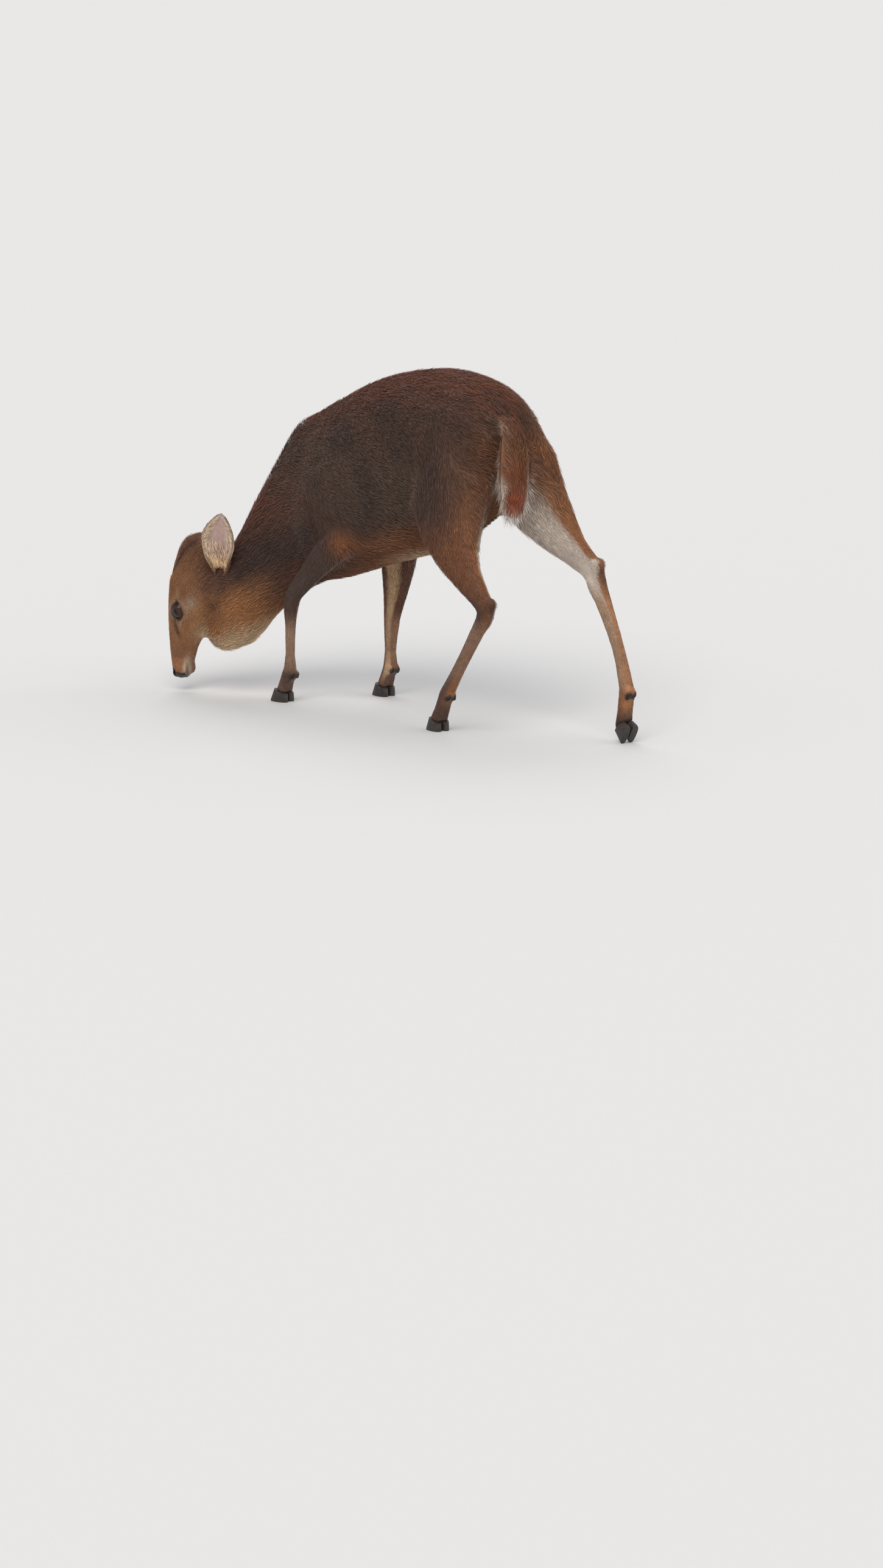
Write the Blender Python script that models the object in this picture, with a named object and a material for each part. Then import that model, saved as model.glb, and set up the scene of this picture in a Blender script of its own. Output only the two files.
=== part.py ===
"""Reeves's muntjac without antlers, in its thick winter coat, walking slowly with its nose at the ground.

A still, life-size model. X runs forward along the body, Y to the animal's left and Z up, in metres, and the
hooves stand on Z = 0. The trunk, neck, legs and tail are profiles carried along curved paths, blended into
one body and then parted by thin cuts into the lengths that a person would name. The head is built the same
way at a finer grain, with its ears, lids, nostrils and line of the mouth.
"""

import math

import bmesh
import bpy
import numpy as np
from mathutils import Matrix, Vector

# Driving sizes of the whole animal
BACK_HEIGHT = 0.468
TRUNK_BEND = 0.31
GAP = 0.0003

# The head hangs nose down, turned to the animal's left
HEAD_TURN = math.radians(35)
HEAD_LENGTH = 0.187
HEAD_TOP = Vector((0.385, 0.144, 0.205))
EYE_RADIUS = 0.0124

# Grain of the blended shapes
BODY_GRAIN = 0.0032
HEAD_GRAIN = 0.0017
BODY_SHARE = 0.037
HEAD_SHARE = 0.0315
EAR_GRAIN = 0.0008
EAR_SHARE = 0.011


def clear_scene():
    for obj in list(bpy.data.objects):
        bpy.data.objects.remove(obj, do_unlink=True)


def carried(rows, steps):
    """Rows of sizes carried through a Catmull-Rom curve, with the given number of steps between two rows."""
    rows = np.array(rows, float)
    first = 2 * rows[0] - rows[1]
    last = 2 * rows[-1] - rows[-2]
    held = np.vstack([first, rows, last])
    t = (np.arange(steps) / steps)[:, None]
    runs = []
    for a, b, c, d in zip(held, held[1:], held[2:], held[3:]):
        runs.append(b + 0.5 * t * (c - a + t * (2 * a - 5 * b + 4 * c - d + t * (3 * (b - c) + d - a))))
    return np.vstack(runs + [rows[-1:]])


def tube(rows, up, sides=28, steps=6, upright=False):
    """A closed tube: each row gives the middle, half width, half height above and below, and the fullness.

    Its sections are square to the path, or stand along the direction up where upright is set.
    """
    rows = carried(rows, steps)
    middle, (wide, above, below, power) = rows[:, :3], rows[:, 3:].T
    up = np.array(up, float) / np.linalg.norm(up)
    along = np.gradient(middle, axis=0)
    if upright:
        along -= (along @ up)[:, None] * up
    along /= np.linalg.norm(along, axis=1)[:, None]
    across = np.cross(up, along)
    across /= np.linalg.norm(across, axis=1)[:, None]
    lift = np.cross(along, across)
    angle = np.arange(sides) * 2 * math.pi / sides
    cos, sin = np.cos(angle), np.sin(angle)
    full = 2 / power[:, None]
    sideways = wide[:, None] * np.sign(cos) * np.abs(cos) ** full
    upwards = np.where(sin > 0, above[:, None], below[:, None]) * np.sign(sin) * np.abs(sin) ** full
    points = middle[:, None] + across[:, None] * sideways[..., None] + lift[:, None] * upwards[..., None]
    count = len(rows)
    ring = np.arange(sides)
    faces = []
    for i in range(count - 1):
        near, far = i * sides, (i + 1) * sides
        faces += [(near + k, near + (k + 1) % sides, far + (k + 1) % sides, far + k) for k in ring]
    faces.append(tuple(ring[::-1]))
    faces.append(tuple(ring + (count - 1) * sides))
    return points.reshape(-1, 3), faces


def ball(middle, radii, turn=None):
    """A round mass of the given half sizes."""
    mesh = bmesh.new()
    bmesh.ops.create_icosphere(mesh, subdivisions=3, radius=1)
    place = Matrix.Translation(middle) @ (turn or Matrix()) @ Matrix.Diagonal((*radii, 1))
    bmesh.ops.transform(mesh, matrix=place, verts=mesh.verts)
    points = np.array([v.co[:] for v in mesh.verts])
    faces = [tuple(v.index for v in f.verts) for f in mesh.faces]
    mesh.free()
    return points, faces


def new_object(name, points, faces):
    mesh = bpy.data.meshes.new(name)
    mesh.from_pydata([tuple(p) for p in points], [], [tuple(int(i) for i in f) for f in faces])
    mesh.validate()
    obj = bpy.data.objects.new(name, mesh)
    bpy.context.scene.collection.objects.link(obj)
    tidy = bmesh.new()
    tidy.from_mesh(mesh)
    bmesh.ops.recalc_face_normals(tidy, faces=tidy.faces)
    tidy.to_mesh(mesh)
    tidy.free()
    return obj


def joined(name, shapes):
    """Several closed shapes in one mesh, which the blend then fuses."""
    points, faces, start = [], [], 0
    for shape_points, shape_faces in shapes:
        points.append(shape_points)
        faces += [tuple(int(i) + start for i in face) for face in shape_faces]
        start += len(shape_points)
    return new_object(name, np.vstack(points), faces)


def settle(obj):
    """Applies the object's modifiers."""
    graph = bpy.context.evaluated_depsgraph_get()
    mesh = bpy.data.meshes.new_from_object(obj.evaluated_get(graph))
    obj.modifiers.clear()
    obj.data = mesh


def blend(obj, grain, rounds, share, flesh_from=None):
    """Fuses overlapping shapes at the given grain, softens where they meet and thins the triangles.

    What lies higher than flesh_from is softened a good deal more than the thin legs below it.
    """
    fuse = obj.modifiers.new("fuse", "REMESH")
    fuse.mode = "VOXEL"
    fuse.voxel_size = grain
    if flesh_from:
        settle(obj)
        heights = np.array([vertex.co.z for vertex in obj.data.vertices])
        ahead = np.array([vertex.co.x for vertex in obj.data.vertices])
        weights = np.clip((heights - flesh_from) / 0.06, 0, 1) * np.clip((0.30 - ahead) / 0.06, 0, 1)
        flesh = obj.vertex_groups.new(name="flesh")
        for i in np.flatnonzero(weights):
            flesh.add([int(i)], float(weights[i]), "REPLACE")
        even = obj.modifiers.new("even", "SMOOTH")
        even.factor = 0.5
        even.iterations = 22
        even.vertex_group = "flesh"
    soften = obj.modifiers.new("soften", "SMOOTH")
    soften.factor = 0.5
    soften.iterations = rounds
    thin = obj.modifiers.new("thin", "DECIMATE")
    thin.ratio = share
    settle(obj)


def carve(obj, cutters, operation="DIFFERENCE"):
    """One Boolean of the object with all of the cutters, which are then removed."""
    tools = bpy.data.collections.new("tools")
    for cutter in cutters:
        tools.objects.link(cutter)
    change = obj.modifiers.new("carve", "BOOLEAN")
    change.operation = operation
    change.operand_type = "COLLECTION"
    change.collection = tools
    change.solver = "EXACT"
    settle(obj)
    for cutter in cutters:
        bpy.data.objects.remove(cutter, do_unlink=True)
    bpy.data.collections.remove(tools)


def block(middle, normal, up, reach, thick=GAP):
    """A square plate across the normal, as thick as the gap between two parts unless told otherwise.

    Its near face to the middle stays half a gap away, and a thicker plate grows against the normal.
    """
    normal = Vector(normal).normalized()
    side = Vector(up).cross(normal).normalized()
    turn = Matrix((side, normal.cross(side), normal)).transposed().to_4x4()
    middle = Vector(middle) + normal * (GAP - thick) / 2
    place = Matrix.Translation(middle) @ turn @ Matrix.Diagonal((2 * reach[0], 2 * reach[1], thick, 1))
    mesh = bmesh.new()
    bmesh.ops.create_cube(mesh, size=1)
    bmesh.ops.transform(mesh, matrix=place, verts=mesh.verts)
    points = np.array([v.co[:] for v in mesh.verts])
    faces = [tuple(v.index for v in f.verts) for f in mesh.faces]
    mesh.free()
    return new_object("block", points, faces)


def loose_parts(obj):
    """The separate closed surfaces of an object, each as points and faces."""
    mesh = bmesh.new()
    mesh.from_mesh(obj.data)
    mesh.verts.ensure_lookup_table()
    seen = set()
    parts = []
    for start in mesh.verts:
        if start.index in seen:
            continue
        stack, found = [start], []
        seen.add(start.index)
        while stack:
            vertex = stack.pop()
            found.append(vertex)
            for edge in vertex.link_edges:
                other = edge.other_vert(vertex)
                if other.index not in seen:
                    seen.add(other.index)
                    stack.append(other)
        place = {vertex.index: i for i, vertex in enumerate(found)}
        faces = {face for vertex in found for face in vertex.link_faces}
        faces = sorted(faces, key=lambda face: face.index)
        points = np.array([vertex.co[:] for vertex in found])
        parts.append((points, [tuple(place[v.index] for v in face.verts) for face in faces]))
    mesh.free()
    return parts


def part_out(obj, seeds):
    """Makes one object of each loose part, named after the seed nearest to its middle; scraps are dropped."""
    parts = [part for part in loose_parts(obj) if len(part[0]) > 20]
    bpy.data.objects.remove(obj, do_unlink=True)
    made = {}
    for points, faces in parts:
        middle = (points.max(axis=0) + points.min(axis=0)) / 2
        name = min(seeds, key=lambda seed: np.linalg.norm(middle - np.array(seeds[seed])))
        if name not in made or len(points) > len(made[name][0]):
            made[name] = (points, faces)
    return {name: new_object(name, *made[name]) for name in made}


def spine(x, z):
    """A point on the trunk's middle plane, which bends to the animal's left at both ends."""
    return (x, TRUNK_BEND * (x + 0.03) ** 2, z)


def trunk_row(x, top, bottom, half_width, power):
    """One upright section of the trunk, widest a little below its middle."""
    widest = bottom + 0.47 * (top - bottom)
    return (*spine(x, widest), half_width, top - widest, widest - bottom, power)


# From the root of the tail to the front of the chest
TRUNK = [
    trunk_row(-0.176, 0.402, 0.365, 0.018, 2.0),
    trunk_row(-0.168, 0.423, 0.340, 0.038, 2.0),
    trunk_row(-0.150, 0.442, 0.314, 0.056, 2.1),
    trunk_row(-0.120, 0.456, 0.287, 0.069, 2.2),
    trunk_row(-0.080, 0.465, 0.256, 0.077, 2.2),
    trunk_row(-0.025, BACK_HEIGHT, 0.224, 0.082, 2.2),
    trunk_row(0.035, 0.460, 0.205, 0.086, 2.2),
    trunk_row(0.095, 0.444, 0.188, 0.085, 2.2),
    trunk_row(0.148, 0.421, 0.170, 0.079, 2.1),
    trunk_row(0.195, 0.398, 0.158, 0.067, 2.1),
    trunk_row(0.233, 0.372, 0.160, 0.054, 2.0),
    trunk_row(0.262, 0.335, 0.185, 0.036, 2.0),
]

# From inside the chest, down and to the left, to inside the back of the head
NECK = [
    (0.175, 0.015, 0.285, 0.062, 0.112, 0.115, 2.1),
    (0.218, 0.024, 0.264, 0.058, 0.110, 0.108, 2.1),
    (0.248, 0.042, 0.226, 0.052, 0.098, 0.090, 2.1),
    (0.270, 0.064, 0.185, 0.048, 0.086, 0.077, 2.1),
    (0.288, 0.080, 0.152, 0.045, 0.074, 0.074, 2.1),
    (0.304, 0.092, 0.134, 0.041, 0.062, 0.072, 2.0),
    (0.322, 0.104, 0.122, 0.034, 0.050, 0.058, 2.0),
]

FORE_LEFT = [
    (0.165, 0.045, 0.350, 0.020, 0.035, 0.035, 2.0),
    (0.172, 0.054, 0.300, 0.026, 0.045, 0.050, 2.0),
    (0.130, 0.059, 0.255, 0.027, 0.040, 0.042, 2.0),
    (0.118, 0.066, 0.230, 0.021, 0.028, 0.028, 2.0),
    (0.158, 0.075, 0.186, 0.0150, 0.019, 0.019, 2.0),
    (0.192, 0.080, 0.150, 0.0115, 0.014, 0.0125, 2.0),
    (0.2015, 0.080, 0.128, 0.0105, 0.0115, 0.0115, 2.0),
    (0.203, 0.080, 0.104, 0.0078, 0.009, 0.0085, 2.0),
    (0.204, 0.080, 0.064, 0.0072, 0.008, 0.008, 2.0),
    (0.205, 0.080, 0.042, 0.0095, 0.0095, 0.011, 2.0),
]
FORE_RIGHT = [
    (0.150, -0.028, 0.350, 0.020, 0.035, 0.035, 2.0),
    (0.155, -0.036, 0.300, 0.026, 0.045, 0.050, 2.0),
    (0.133, -0.044, 0.250, 0.028, 0.040, 0.042, 2.0),
    (0.133, -0.050, 0.200, 0.023, 0.034, 0.032, 2.0),
    (0.140, -0.051, 0.150, 0.0165, 0.022, 0.021, 2.0),
    (0.147, -0.051, 0.116, 0.0125, 0.0145, 0.0135, 2.0),
    (0.150, -0.051, 0.094, 0.0105, 0.0115, 0.0115, 2.0),
    (0.152, -0.051, 0.064, 0.0082, 0.0095, 0.0095, 2.0),
    (0.152, -0.051, 0.042, 0.0098, 0.0105, 0.0115, 2.0),
]
HIND_LEFT = [
    (-0.110, 0.030, 0.410, 0.026, 0.050, 0.030, 2.0),
    (-0.088, 0.043, 0.350, 0.038, 0.080, 0.072, 2.1),
    (-0.095, 0.053, 0.290, 0.033, 0.062, 0.074, 2.1),
    (-0.116, 0.062, 0.246, 0.026, 0.040, 0.050, 2.1),
    (-0.146, 0.067, 0.212, 0.0175, 0.025, 0.026, 2.0),
    (-0.178, 0.070, 0.184, 0.0125, 0.0155, 0.0155, 2.0),
    (-0.186, 0.070, 0.166, 0.0115, 0.0125, 0.0145, 2.0),
    (-0.172, 0.070, 0.143, 0.0092, 0.011, 0.011, 2.0),
    (-0.135, 0.068, 0.092, 0.0085, 0.0095, 0.0095, 2.0),
    (-0.106, 0.067, 0.052, 0.010, 0.0105, 0.0115, 2.0),
]
HIND_RIGHT = [
    (-0.115, -0.030, 0.415, 0.030, 0.055, 0.040, 2.0),
    (-0.112, -0.043, 0.360, 0.038, 0.078, 0.066, 2.1),
    (-0.138, -0.050, 0.310, 0.033, 0.060, 0.064, 2.1),
    (-0.178, -0.054, 0.270, 0.025, 0.040, 0.044, 2.1),
    (-0.216, -0.057, 0.240, 0.017, 0.024, 0.027, 2.0),
    (-0.246, -0.060, 0.219, 0.0135, 0.017, 0.019, 2.0),
    (-0.258, -0.060, 0.198, 0.012, 0.015, 0.016, 2.0),
    (-0.273, -0.060, 0.174, 0.0095, 0.0125, 0.0125, 2.0),
    (-0.300, -0.060, 0.120, 0.0085, 0.0098, 0.0098, 2.0),
    (-0.316, -0.060, 0.070, 0.010, 0.0105, 0.0115, 2.0),
]

# Points of the hocks, which stand out behind the joint
HOCKS = [((-0.196, 0.070, 0.180), 0.0105), ((-0.260, -0.060, 0.228), 0.0105)]

# Each foot: its fetlock, the middle between its toes on the ground, heading and how far the heel is raised
FEET = {
    "fore_left": ((0.205, 0.080, 0.042), (0.217, 0.081), 12, 0),
    "fore_right": ((0.152, -0.051, 0.042), (0.164, -0.051), 4, 0),
    "hind_left": ((-0.106, 0.067, 0.052), (-0.088, 0.066), -2, 0),
    "hind_right": ((-0.316, -0.060, 0.070), (-0.323, -0.060), -4, 62),
}
TOE_APART = 0.0064
TOE_REACH = 0.0172
CORONET_HEIGHT = 0.0155
CORONET_SLOPE = (-0.32, 0, 1)
SOLE_SINK = 0.0005
TIP_SINK = 0.0014

TAIL_WIDTH = 0.031
TAIL = [
    (-0.158, 0.013, 0.412, 0.016, 0.012, 0.012, 2.0),
    (-0.174, 0.017, 0.404, 0.022, 0.011, 0.011, 2.0),
    (-0.186, 0.021, 0.386, 0.028, 0.010, 0.010, 2.0),
    (-0.191, 0.024, 0.358, TAIL_WIDTH, 0.010, 0.010, 2.0),
    (-0.191, 0.025, 0.326, TAIL_WIDTH * 0.95, 0.009, 0.009, 2.0),
    (-0.190, 0.025, 0.303, 0.023, 0.007, 0.007, 2.0),
    (-0.190, 0.025, 0.287, 0.011, 0.004, 0.004, 2.0),
]

FOREHEAD = Vector((math.cos(HEAD_TURN), math.sin(HEAD_TURN), 0))
HEAD_LEFT = Vector((-math.sin(HEAD_TURN), math.cos(HEAD_TURN), 0))
NOSEWARD = Vector((0, 0, -1))


def on_head(down, out, side=0.0):
    """A point down the face from the crown, out past the line of the face and to the left, in metres."""
    return HEAD_TOP + NOSEWARD * down + FOREHEAD * out + HEAD_LEFT * side


def head_row(down, face, jaw, half_width, power):
    """One section of the head, from the line of the face back to the jaw."""
    widest = face - 0.42 * (face - jaw)
    return (*on_head(down, widest), half_width, face - widest, widest - jaw, power)


HEAD = [
    head_row(-0.011, -0.034, -0.058, 0.012, 2.0),
    head_row(-0.005, -0.023, -0.074, 0.022, 2.0),
    head_row(0.010, -0.0145, -0.086, 0.029, 2.1),
    head_row(0.032, -0.009, -0.090, 0.032, 2.2),
    head_row(0.055, -0.004, -0.085, 0.034, 2.3),
    head_row(0.076, -0.001, -0.076, 0.035, 2.4),
    head_row(0.097, 0.000, -0.065, 0.031, 2.4),
    head_row(0.118, 0.000, -0.054, 0.0245, 2.4),
    head_row(0.138, -0.001, -0.044, 0.0195, 2.4),
    head_row(0.158, -0.003, -0.037, 0.0170, 2.4),
    head_row(0.173, -0.006, -0.034, 0.0155, 2.3),
    head_row(0.183, -0.011, -0.030, 0.0105, 2.0),
    head_row(HEAD_LENGTH, -0.016, -0.025, 0.005, 2.0),
]
EYE_DOWN, EYE_OUT, EYE_SIDE = 0.090, -0.0225, 0.0228
EYE_LENGTH, EYE_OPENING = 0.0114, 0.0071
LID = 0.0016
EAR_DOWN, EAR_SIDE = 0.038, 0.029
EAR_LENGTH, EAR_WIDTH, EAR_THICK = 0.086, 0.0225, 0.0024

# Behind the ears and the jaw, where the neck begins
HEAD_BACK = (0.055, -0.089)
HEAD_BACK_NORMAL = FOREHEAD * 0.998 - NOSEWARD * 0.060

# The thick hair of the throat, which fills the corner between the jaw and the neck, and its half sizes
THROAT = (0.111, -0.083)
THROAT_SIZE = (0.039, 0.036, 0.028)


def foot_frame(ground, heading, raised):
    """The foot's own axes, ahead, left and up from the middle of the sole, tipped on its toes by raised degrees."""
    tip = math.radians(raised)
    sink = TIP_SINK if raised else SOLE_SINK
    middle = Vector((*ground, TOE_REACH * math.sin(tip) - sink))
    return Matrix.Translation(middle) @ Matrix.Rotation(math.radians(heading), 4, "Z") @ Matrix.Rotation(tip, 4, "Y")


def foot_shapes(fetlock, ground, heading, raised):
    """The two toes from the fetlock to the hooves, and the dew claws behind it."""
    frame = foot_frame(ground, heading, raised)
    ahead = Vector((math.cos(math.radians(heading)), math.sin(math.radians(heading)), 0))
    left = frame.to_3x3() @ Vector((0, 1, 0))
    fetlock = Vector(fetlock)
    shapes = []
    for side in (-1, 1):
        top = fetlock + left * side * 0.0035
        coronet = frame @ Vector((-0.001, side * TOE_APART, CORONET_HEIGHT))
        foot = frame @ Vector((0.001, side * TOE_APART, 0.005))
        knuckle = top.lerp(coronet, 0.5)
        rows = [
            (*top, 0.0075, 0.0095, 0.0105, 2.0),
            (*knuckle, 0.0062, 0.0085, 0.0085, 2.0),
            (*coronet, 0.0060, 0.0092, 0.0092, 2.0),
            (*foot, 0.0060, 0.0092, 0.0092, 2.0),
        ]
        shapes.append(tube(rows, ahead, sides=16, steps=4))
        claw = fetlock - ahead * 0.0105 + left * side * 0.0055 - Vector((0, 0, 0.005))
        shapes.append(ball(claw, (0.0042, 0.0040, 0.0065)))
    return shapes


def coronet_block(frame, above):
    """A block that takes away all that lies below the top of the hooves, or above it."""
    normal = frame.to_3x3() @ Vector(CORONET_SLOPE)
    middle = frame @ Vector((0, 0, CORONET_HEIGHT))
    ahead = frame.to_3x3() @ Vector((1, 0, 0))
    return block(middle, -normal if above else normal, ahead, (0.024, 0.030), 0.040)


def hoof(name, frame, side):
    """One horny claw, flat below, standing on Z = 0."""
    rows = [
        (0.0000, side * TOE_APART, 0.0000, 0.0054, TOE_REACH - 0.0006, 0.0110, 2.2),
        (0.0000, side * TOE_APART, 0.0030, 0.0057, TOE_REACH - 0.0008, 0.0116, 2.2),
        (0.0000, side * TOE_APART, 0.0100, 0.0058, 0.0132, 0.0110, 2.2),
        (0.0000, side * TOE_APART, 0.0240, 0.0055, 0.0072, 0.0100, 2.2),
    ]
    points, faces = tube(rows, (1, 0, 0), sides=16, steps=2)
    points = points @ np.array(frame.to_3x3()).T + np.array(frame.translation)
    claw = new_object(name, points, faces)
    floor = block((*frame.translation[:2], 0), (0, 0, 1), (1, 0, 0), (0.06, 0.06), 0.03)
    floor.location.z = -GAP / 2
    bpy.context.view_layer.update()
    carve(claw, [coronet_block(frame, True), floor])
    return claw


def body_shapes():
    shapes = [
        tube(TRUNK, (0, 0, 1), upright=True),
        tube(NECK, (0.18, 0.10, 1), upright=True),
        tube(HEAD, FOREHEAD),
    ]
    shapes += [tube(rows, (1, 0, 0)) for rows in (FORE_LEFT, FORE_RIGHT, HIND_LEFT, HIND_RIGHT)]
    shapes += [ball(middle, (radius, radius * 0.9, radius)) for middle, radius in HOCKS]
    shapes.append(head_ball(*THROAT, 0, THROAT_SIZE))
    for foot in FEET.values():
        shapes += foot_shapes(*foot)
    return shapes


def head_ball(down, out, side, radii):
    """A round mass on the head, its half sizes given down, out and sideways."""
    turn = Matrix((NOSEWARD, FOREHEAD, HEAD_LEFT)).transposed().to_4x4()
    return ball(on_head(down, out, side), radii, turn)


def ear_axes(side):
    """Along the ear and out of its cup. The left ear stands up and the right one is turned back."""
    along = -NOSEWARD * 0.95 + HEAD_LEFT * 0.30 - FOREHEAD * 0.06
    if side < 0:
        along = -NOSEWARD * 0.70 - HEAD_LEFT * 0.50 - FOREHEAD * 0.50
    opening = HEAD_LEFT * side * 0.96 + FOREHEAD * 0.12 + NOSEWARD * 0.28
    along.normalize()
    opening = (opening - along * opening.dot(along)).normalized()
    return along, opening


def ear_root(side):
    return on_head(EAR_DOWN, -0.082, side * EAR_SIDE)


def head_shapes():
    shapes = [tube(NECK, (0.18, 0.10, 1), upright=True), tube(HEAD, FOREHEAD)]
    shapes.append(head_ball(*THROAT, 0, THROAT_SIZE))
    shapes.append(head_ball(0.180, -0.014, 0, (0.0070, 0.0085, 0.0095)))
    shapes.append(head_ball(0.172, -0.031, 0, (0.0100, 0.0060, 0.0090)))
    for side in (-1, 1):
        shapes.append(head_ball(0.060, -0.058, side * 0.022, (0.028, 0.021, 0.015)))
        shapes.append(head_ball(0.171, -0.021, side * 0.0085, (0.0120, 0.0085, 0.0075)))
        shapes.append(head_ball(0.064, -0.0155, side * 0.0190, (0.0270, 0.0105, 0.0095)))
        shapes.append(head_ball(EYE_DOWN, EYE_OUT, side * EYE_SIDE * 0.90, (0.0195, 0.0165, 0.0150)))
        shapes.append(ball(ear_root(side) - ear_axes(side)[0] * 0.005, (0.0125, 0.0125, 0.0125)))
    return shapes


def with_stem(cup, plug):
    """Puts the stem in the cup's own mesh."""
    mesh = bmesh.new()
    mesh.from_mesh(cup.data)
    mesh.from_mesh(plug.data)
    mesh.to_mesh(cup.data)
    mesh.free()
    bpy.data.objects.remove(plug, do_unlink=True)


def ear(name, side, head):
    """A cup, drawn in to a tube at its root and to a rounded point at its tip, about its bent back."""
    along, opening = ear_axes(side)
    wide = along.cross(opening)
    u = np.linspace(0, 0.985, 15)[:, None]
    v = np.linspace(-1, 1, 13)[None, :]
    half = EAR_WIDTH * np.sin(math.pi * u ** 1.5) ** 0.75 + 0.0095 * (1 - u) ** 2
    open_angle = np.radians(150 - 95 * np.minimum(u / 0.5, 1) ** 0.8)
    radius = half / np.sin(np.minimum(open_angle, math.pi / 2))
    swing = v * open_angle
    back = -0.009 + 0.006 * np.sin(math.pi * u)
    points = np.array(ear_root(side)) + np.array(along) * (EAR_LENGTH * u * np.cos(0.12 * swing))[..., None]
    points = points + np.array(wide) * (radius * np.sin(swing))[..., None]
    points = points + np.array(opening) * (back + radius * (1 - np.cos(swing)) * 0.8)[..., None]
    rows, across = points.shape[:2]
    number = np.arange(rows * across).reshape(rows, across)
    faces = np.stack([number[:-1, :-1], number[:-1, 1:], number[1:, 1:], number[1:, :-1]], axis=-1).reshape(-1, 4)
    cup = new_object(name, points.reshape(-1, 3), faces)
    wall = cup.modifiers.new("wall", "SOLIDIFY")
    wall.thickness = EAR_THICK
    wall.offset = 0
    stem = [
        (*(ear_root(side) - along * 0.008), 0.0115, 0.0105, 0.0105, 2.0),
        (*(ear_root(side) + along * 0.006), 0.0105, 0.0100, 0.0100, 2.0),
        (*(ear_root(side) + along * 0.018), 0.0060, 0.0055, 0.0055, 2.0),
    ]
    settle(cup)
    plug = new_object("plug", *tube(stem, FOREHEAD, sides=20, steps=3))
    with_stem(cup, plug)
    blend(cup, EAR_GRAIN, 2, EAR_SHARE)
    carve(cup, [swollen(head, GAP * 1.3)])
    return part_out(cup, {name: ear_root(side)})[name]


def eye_axes(side):
    """Out of the eye, and along its opening towards the nose."""
    outward = (HEAD_LEFT * side * 0.90 + FOREHEAD * 0.28 + NOSEWARD * 0.26).normalized()
    along = NOSEWARD * 0.95 + FOREHEAD * 0.12
    return outward, (along - outward * along.dot(outward)).normalized()


def sphere(name, middle, radius, rings=11, segments=18):
    mesh = bmesh.new()
    bmesh.ops.create_uvsphere(mesh, u_segments=segments, v_segments=rings, radius=radius)
    points = np.array([v.co[:] for v in mesh.verts]) + np.array(middle)
    faces = [tuple(v.index for v in f.verts) for f in mesh.faces]
    mesh.free()
    return new_object(name, points, faces)


def lid_opening(side):
    """A prism through the lids, almond-shaped, from inside the eyeball outwards."""
    outward, along = eye_axes(side)
    upper = outward.cross(along)
    middle = on_head(EYE_DOWN, EYE_OUT, side * EYE_SIDE)
    turn = np.linspace(0, 2 * math.pi, 20, endpoint=False)
    a = EYE_LENGTH * np.cos(turn)
    b = EYE_OPENING * np.sin(turn) * (1 - 0.35 * np.cos(turn) ** 2)
    outline = np.array(along) * a[:, None] + np.array(upper) * b[:, None]
    low = outline + np.array(middle + outward * 0.004)
    high = outline * 1.15 + np.array(middle + outward * 0.030)
    ring = np.arange(len(turn))
    after = np.roll(ring, -1)
    faces = [tuple(ring[::-1]), tuple(ring + len(ring))]
    faces += [(a, b, b + len(ring), a + len(ring)) for a, b in zip(ring, after)]
    return new_object("opening", np.vstack([low, high]), faces)


def groove(obj, path, radius):
    """A thin tube laid half deep in the surface along a path given down, out and sideways on the head."""
    kept = []
    for row in carried(path, 5):
        place = obj.closest_point_on_mesh(on_head(*row))[1]
        if not kept or (place - kept[-1]).length > radius:
            kept.append(place)
    rows = [(*place, radius, radius, radius, 2.0) for place in kept]
    return new_object("groove", *tube(rows, (0.3, 0.4, 0.866), sides=8, steps=2))


def face_cuts(head):
    """The line of the mouth, the nostrils, the glands before the eyes and on the brow, and the eye openings."""
    mouth = [(0.140, -0.034, 0.030), (0.155, -0.0325, 0.030), (0.170, -0.0305, 0.022), (0.184, -0.0285, 0.010),
             (0.196, -0.0275, 0.0), (0.184, -0.0285, -0.010), (0.170, -0.0305, -0.022),
             (0.155, -0.0325, -0.030), (0.140, -0.034, -0.030)]
    cuts = [groove(head, mouth, 0.0010)]
    for side in (-1, 1):
        gland = [(0.103, -0.0150, side * 0.040), (0.112, -0.0165, side * 0.040), (0.124, -0.0190, side * 0.035)]
        brow = [(0.086, 0.010, side * 0.005), (0.070, 0.010, side * 0.008), (0.055, 0.010, side * 0.013)]
        cuts.append(groove(head, gland, 0.0016))
        cuts.append(groove(head, brow, 0.0009))
        nostril = head_ball(0.1790, -0.0105, side * 0.0078, (0.0034, 0.0046, 0.0021))
        cuts.append(new_object("nostril", *nostril))
        cuts.append(lid_opening(side))
    return cuts


def swollen(obj, by):
    """A copy of the object with its surface moved outwards."""
    mesh = bmesh.new()
    mesh.from_mesh(obj.data)
    mesh.normal_update()
    moves = [(vertex, vertex.normal.copy()) for vertex in mesh.verts]
    for vertex, normal in moves:
        vertex.co += normal * by
    data = bpy.data.meshes.new("swollen")
    mesh.to_mesh(data)
    mesh.free()
    copy = bpy.data.objects.new("swollen", data)
    bpy.context.scene.collection.objects.link(copy)
    return copy


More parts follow.
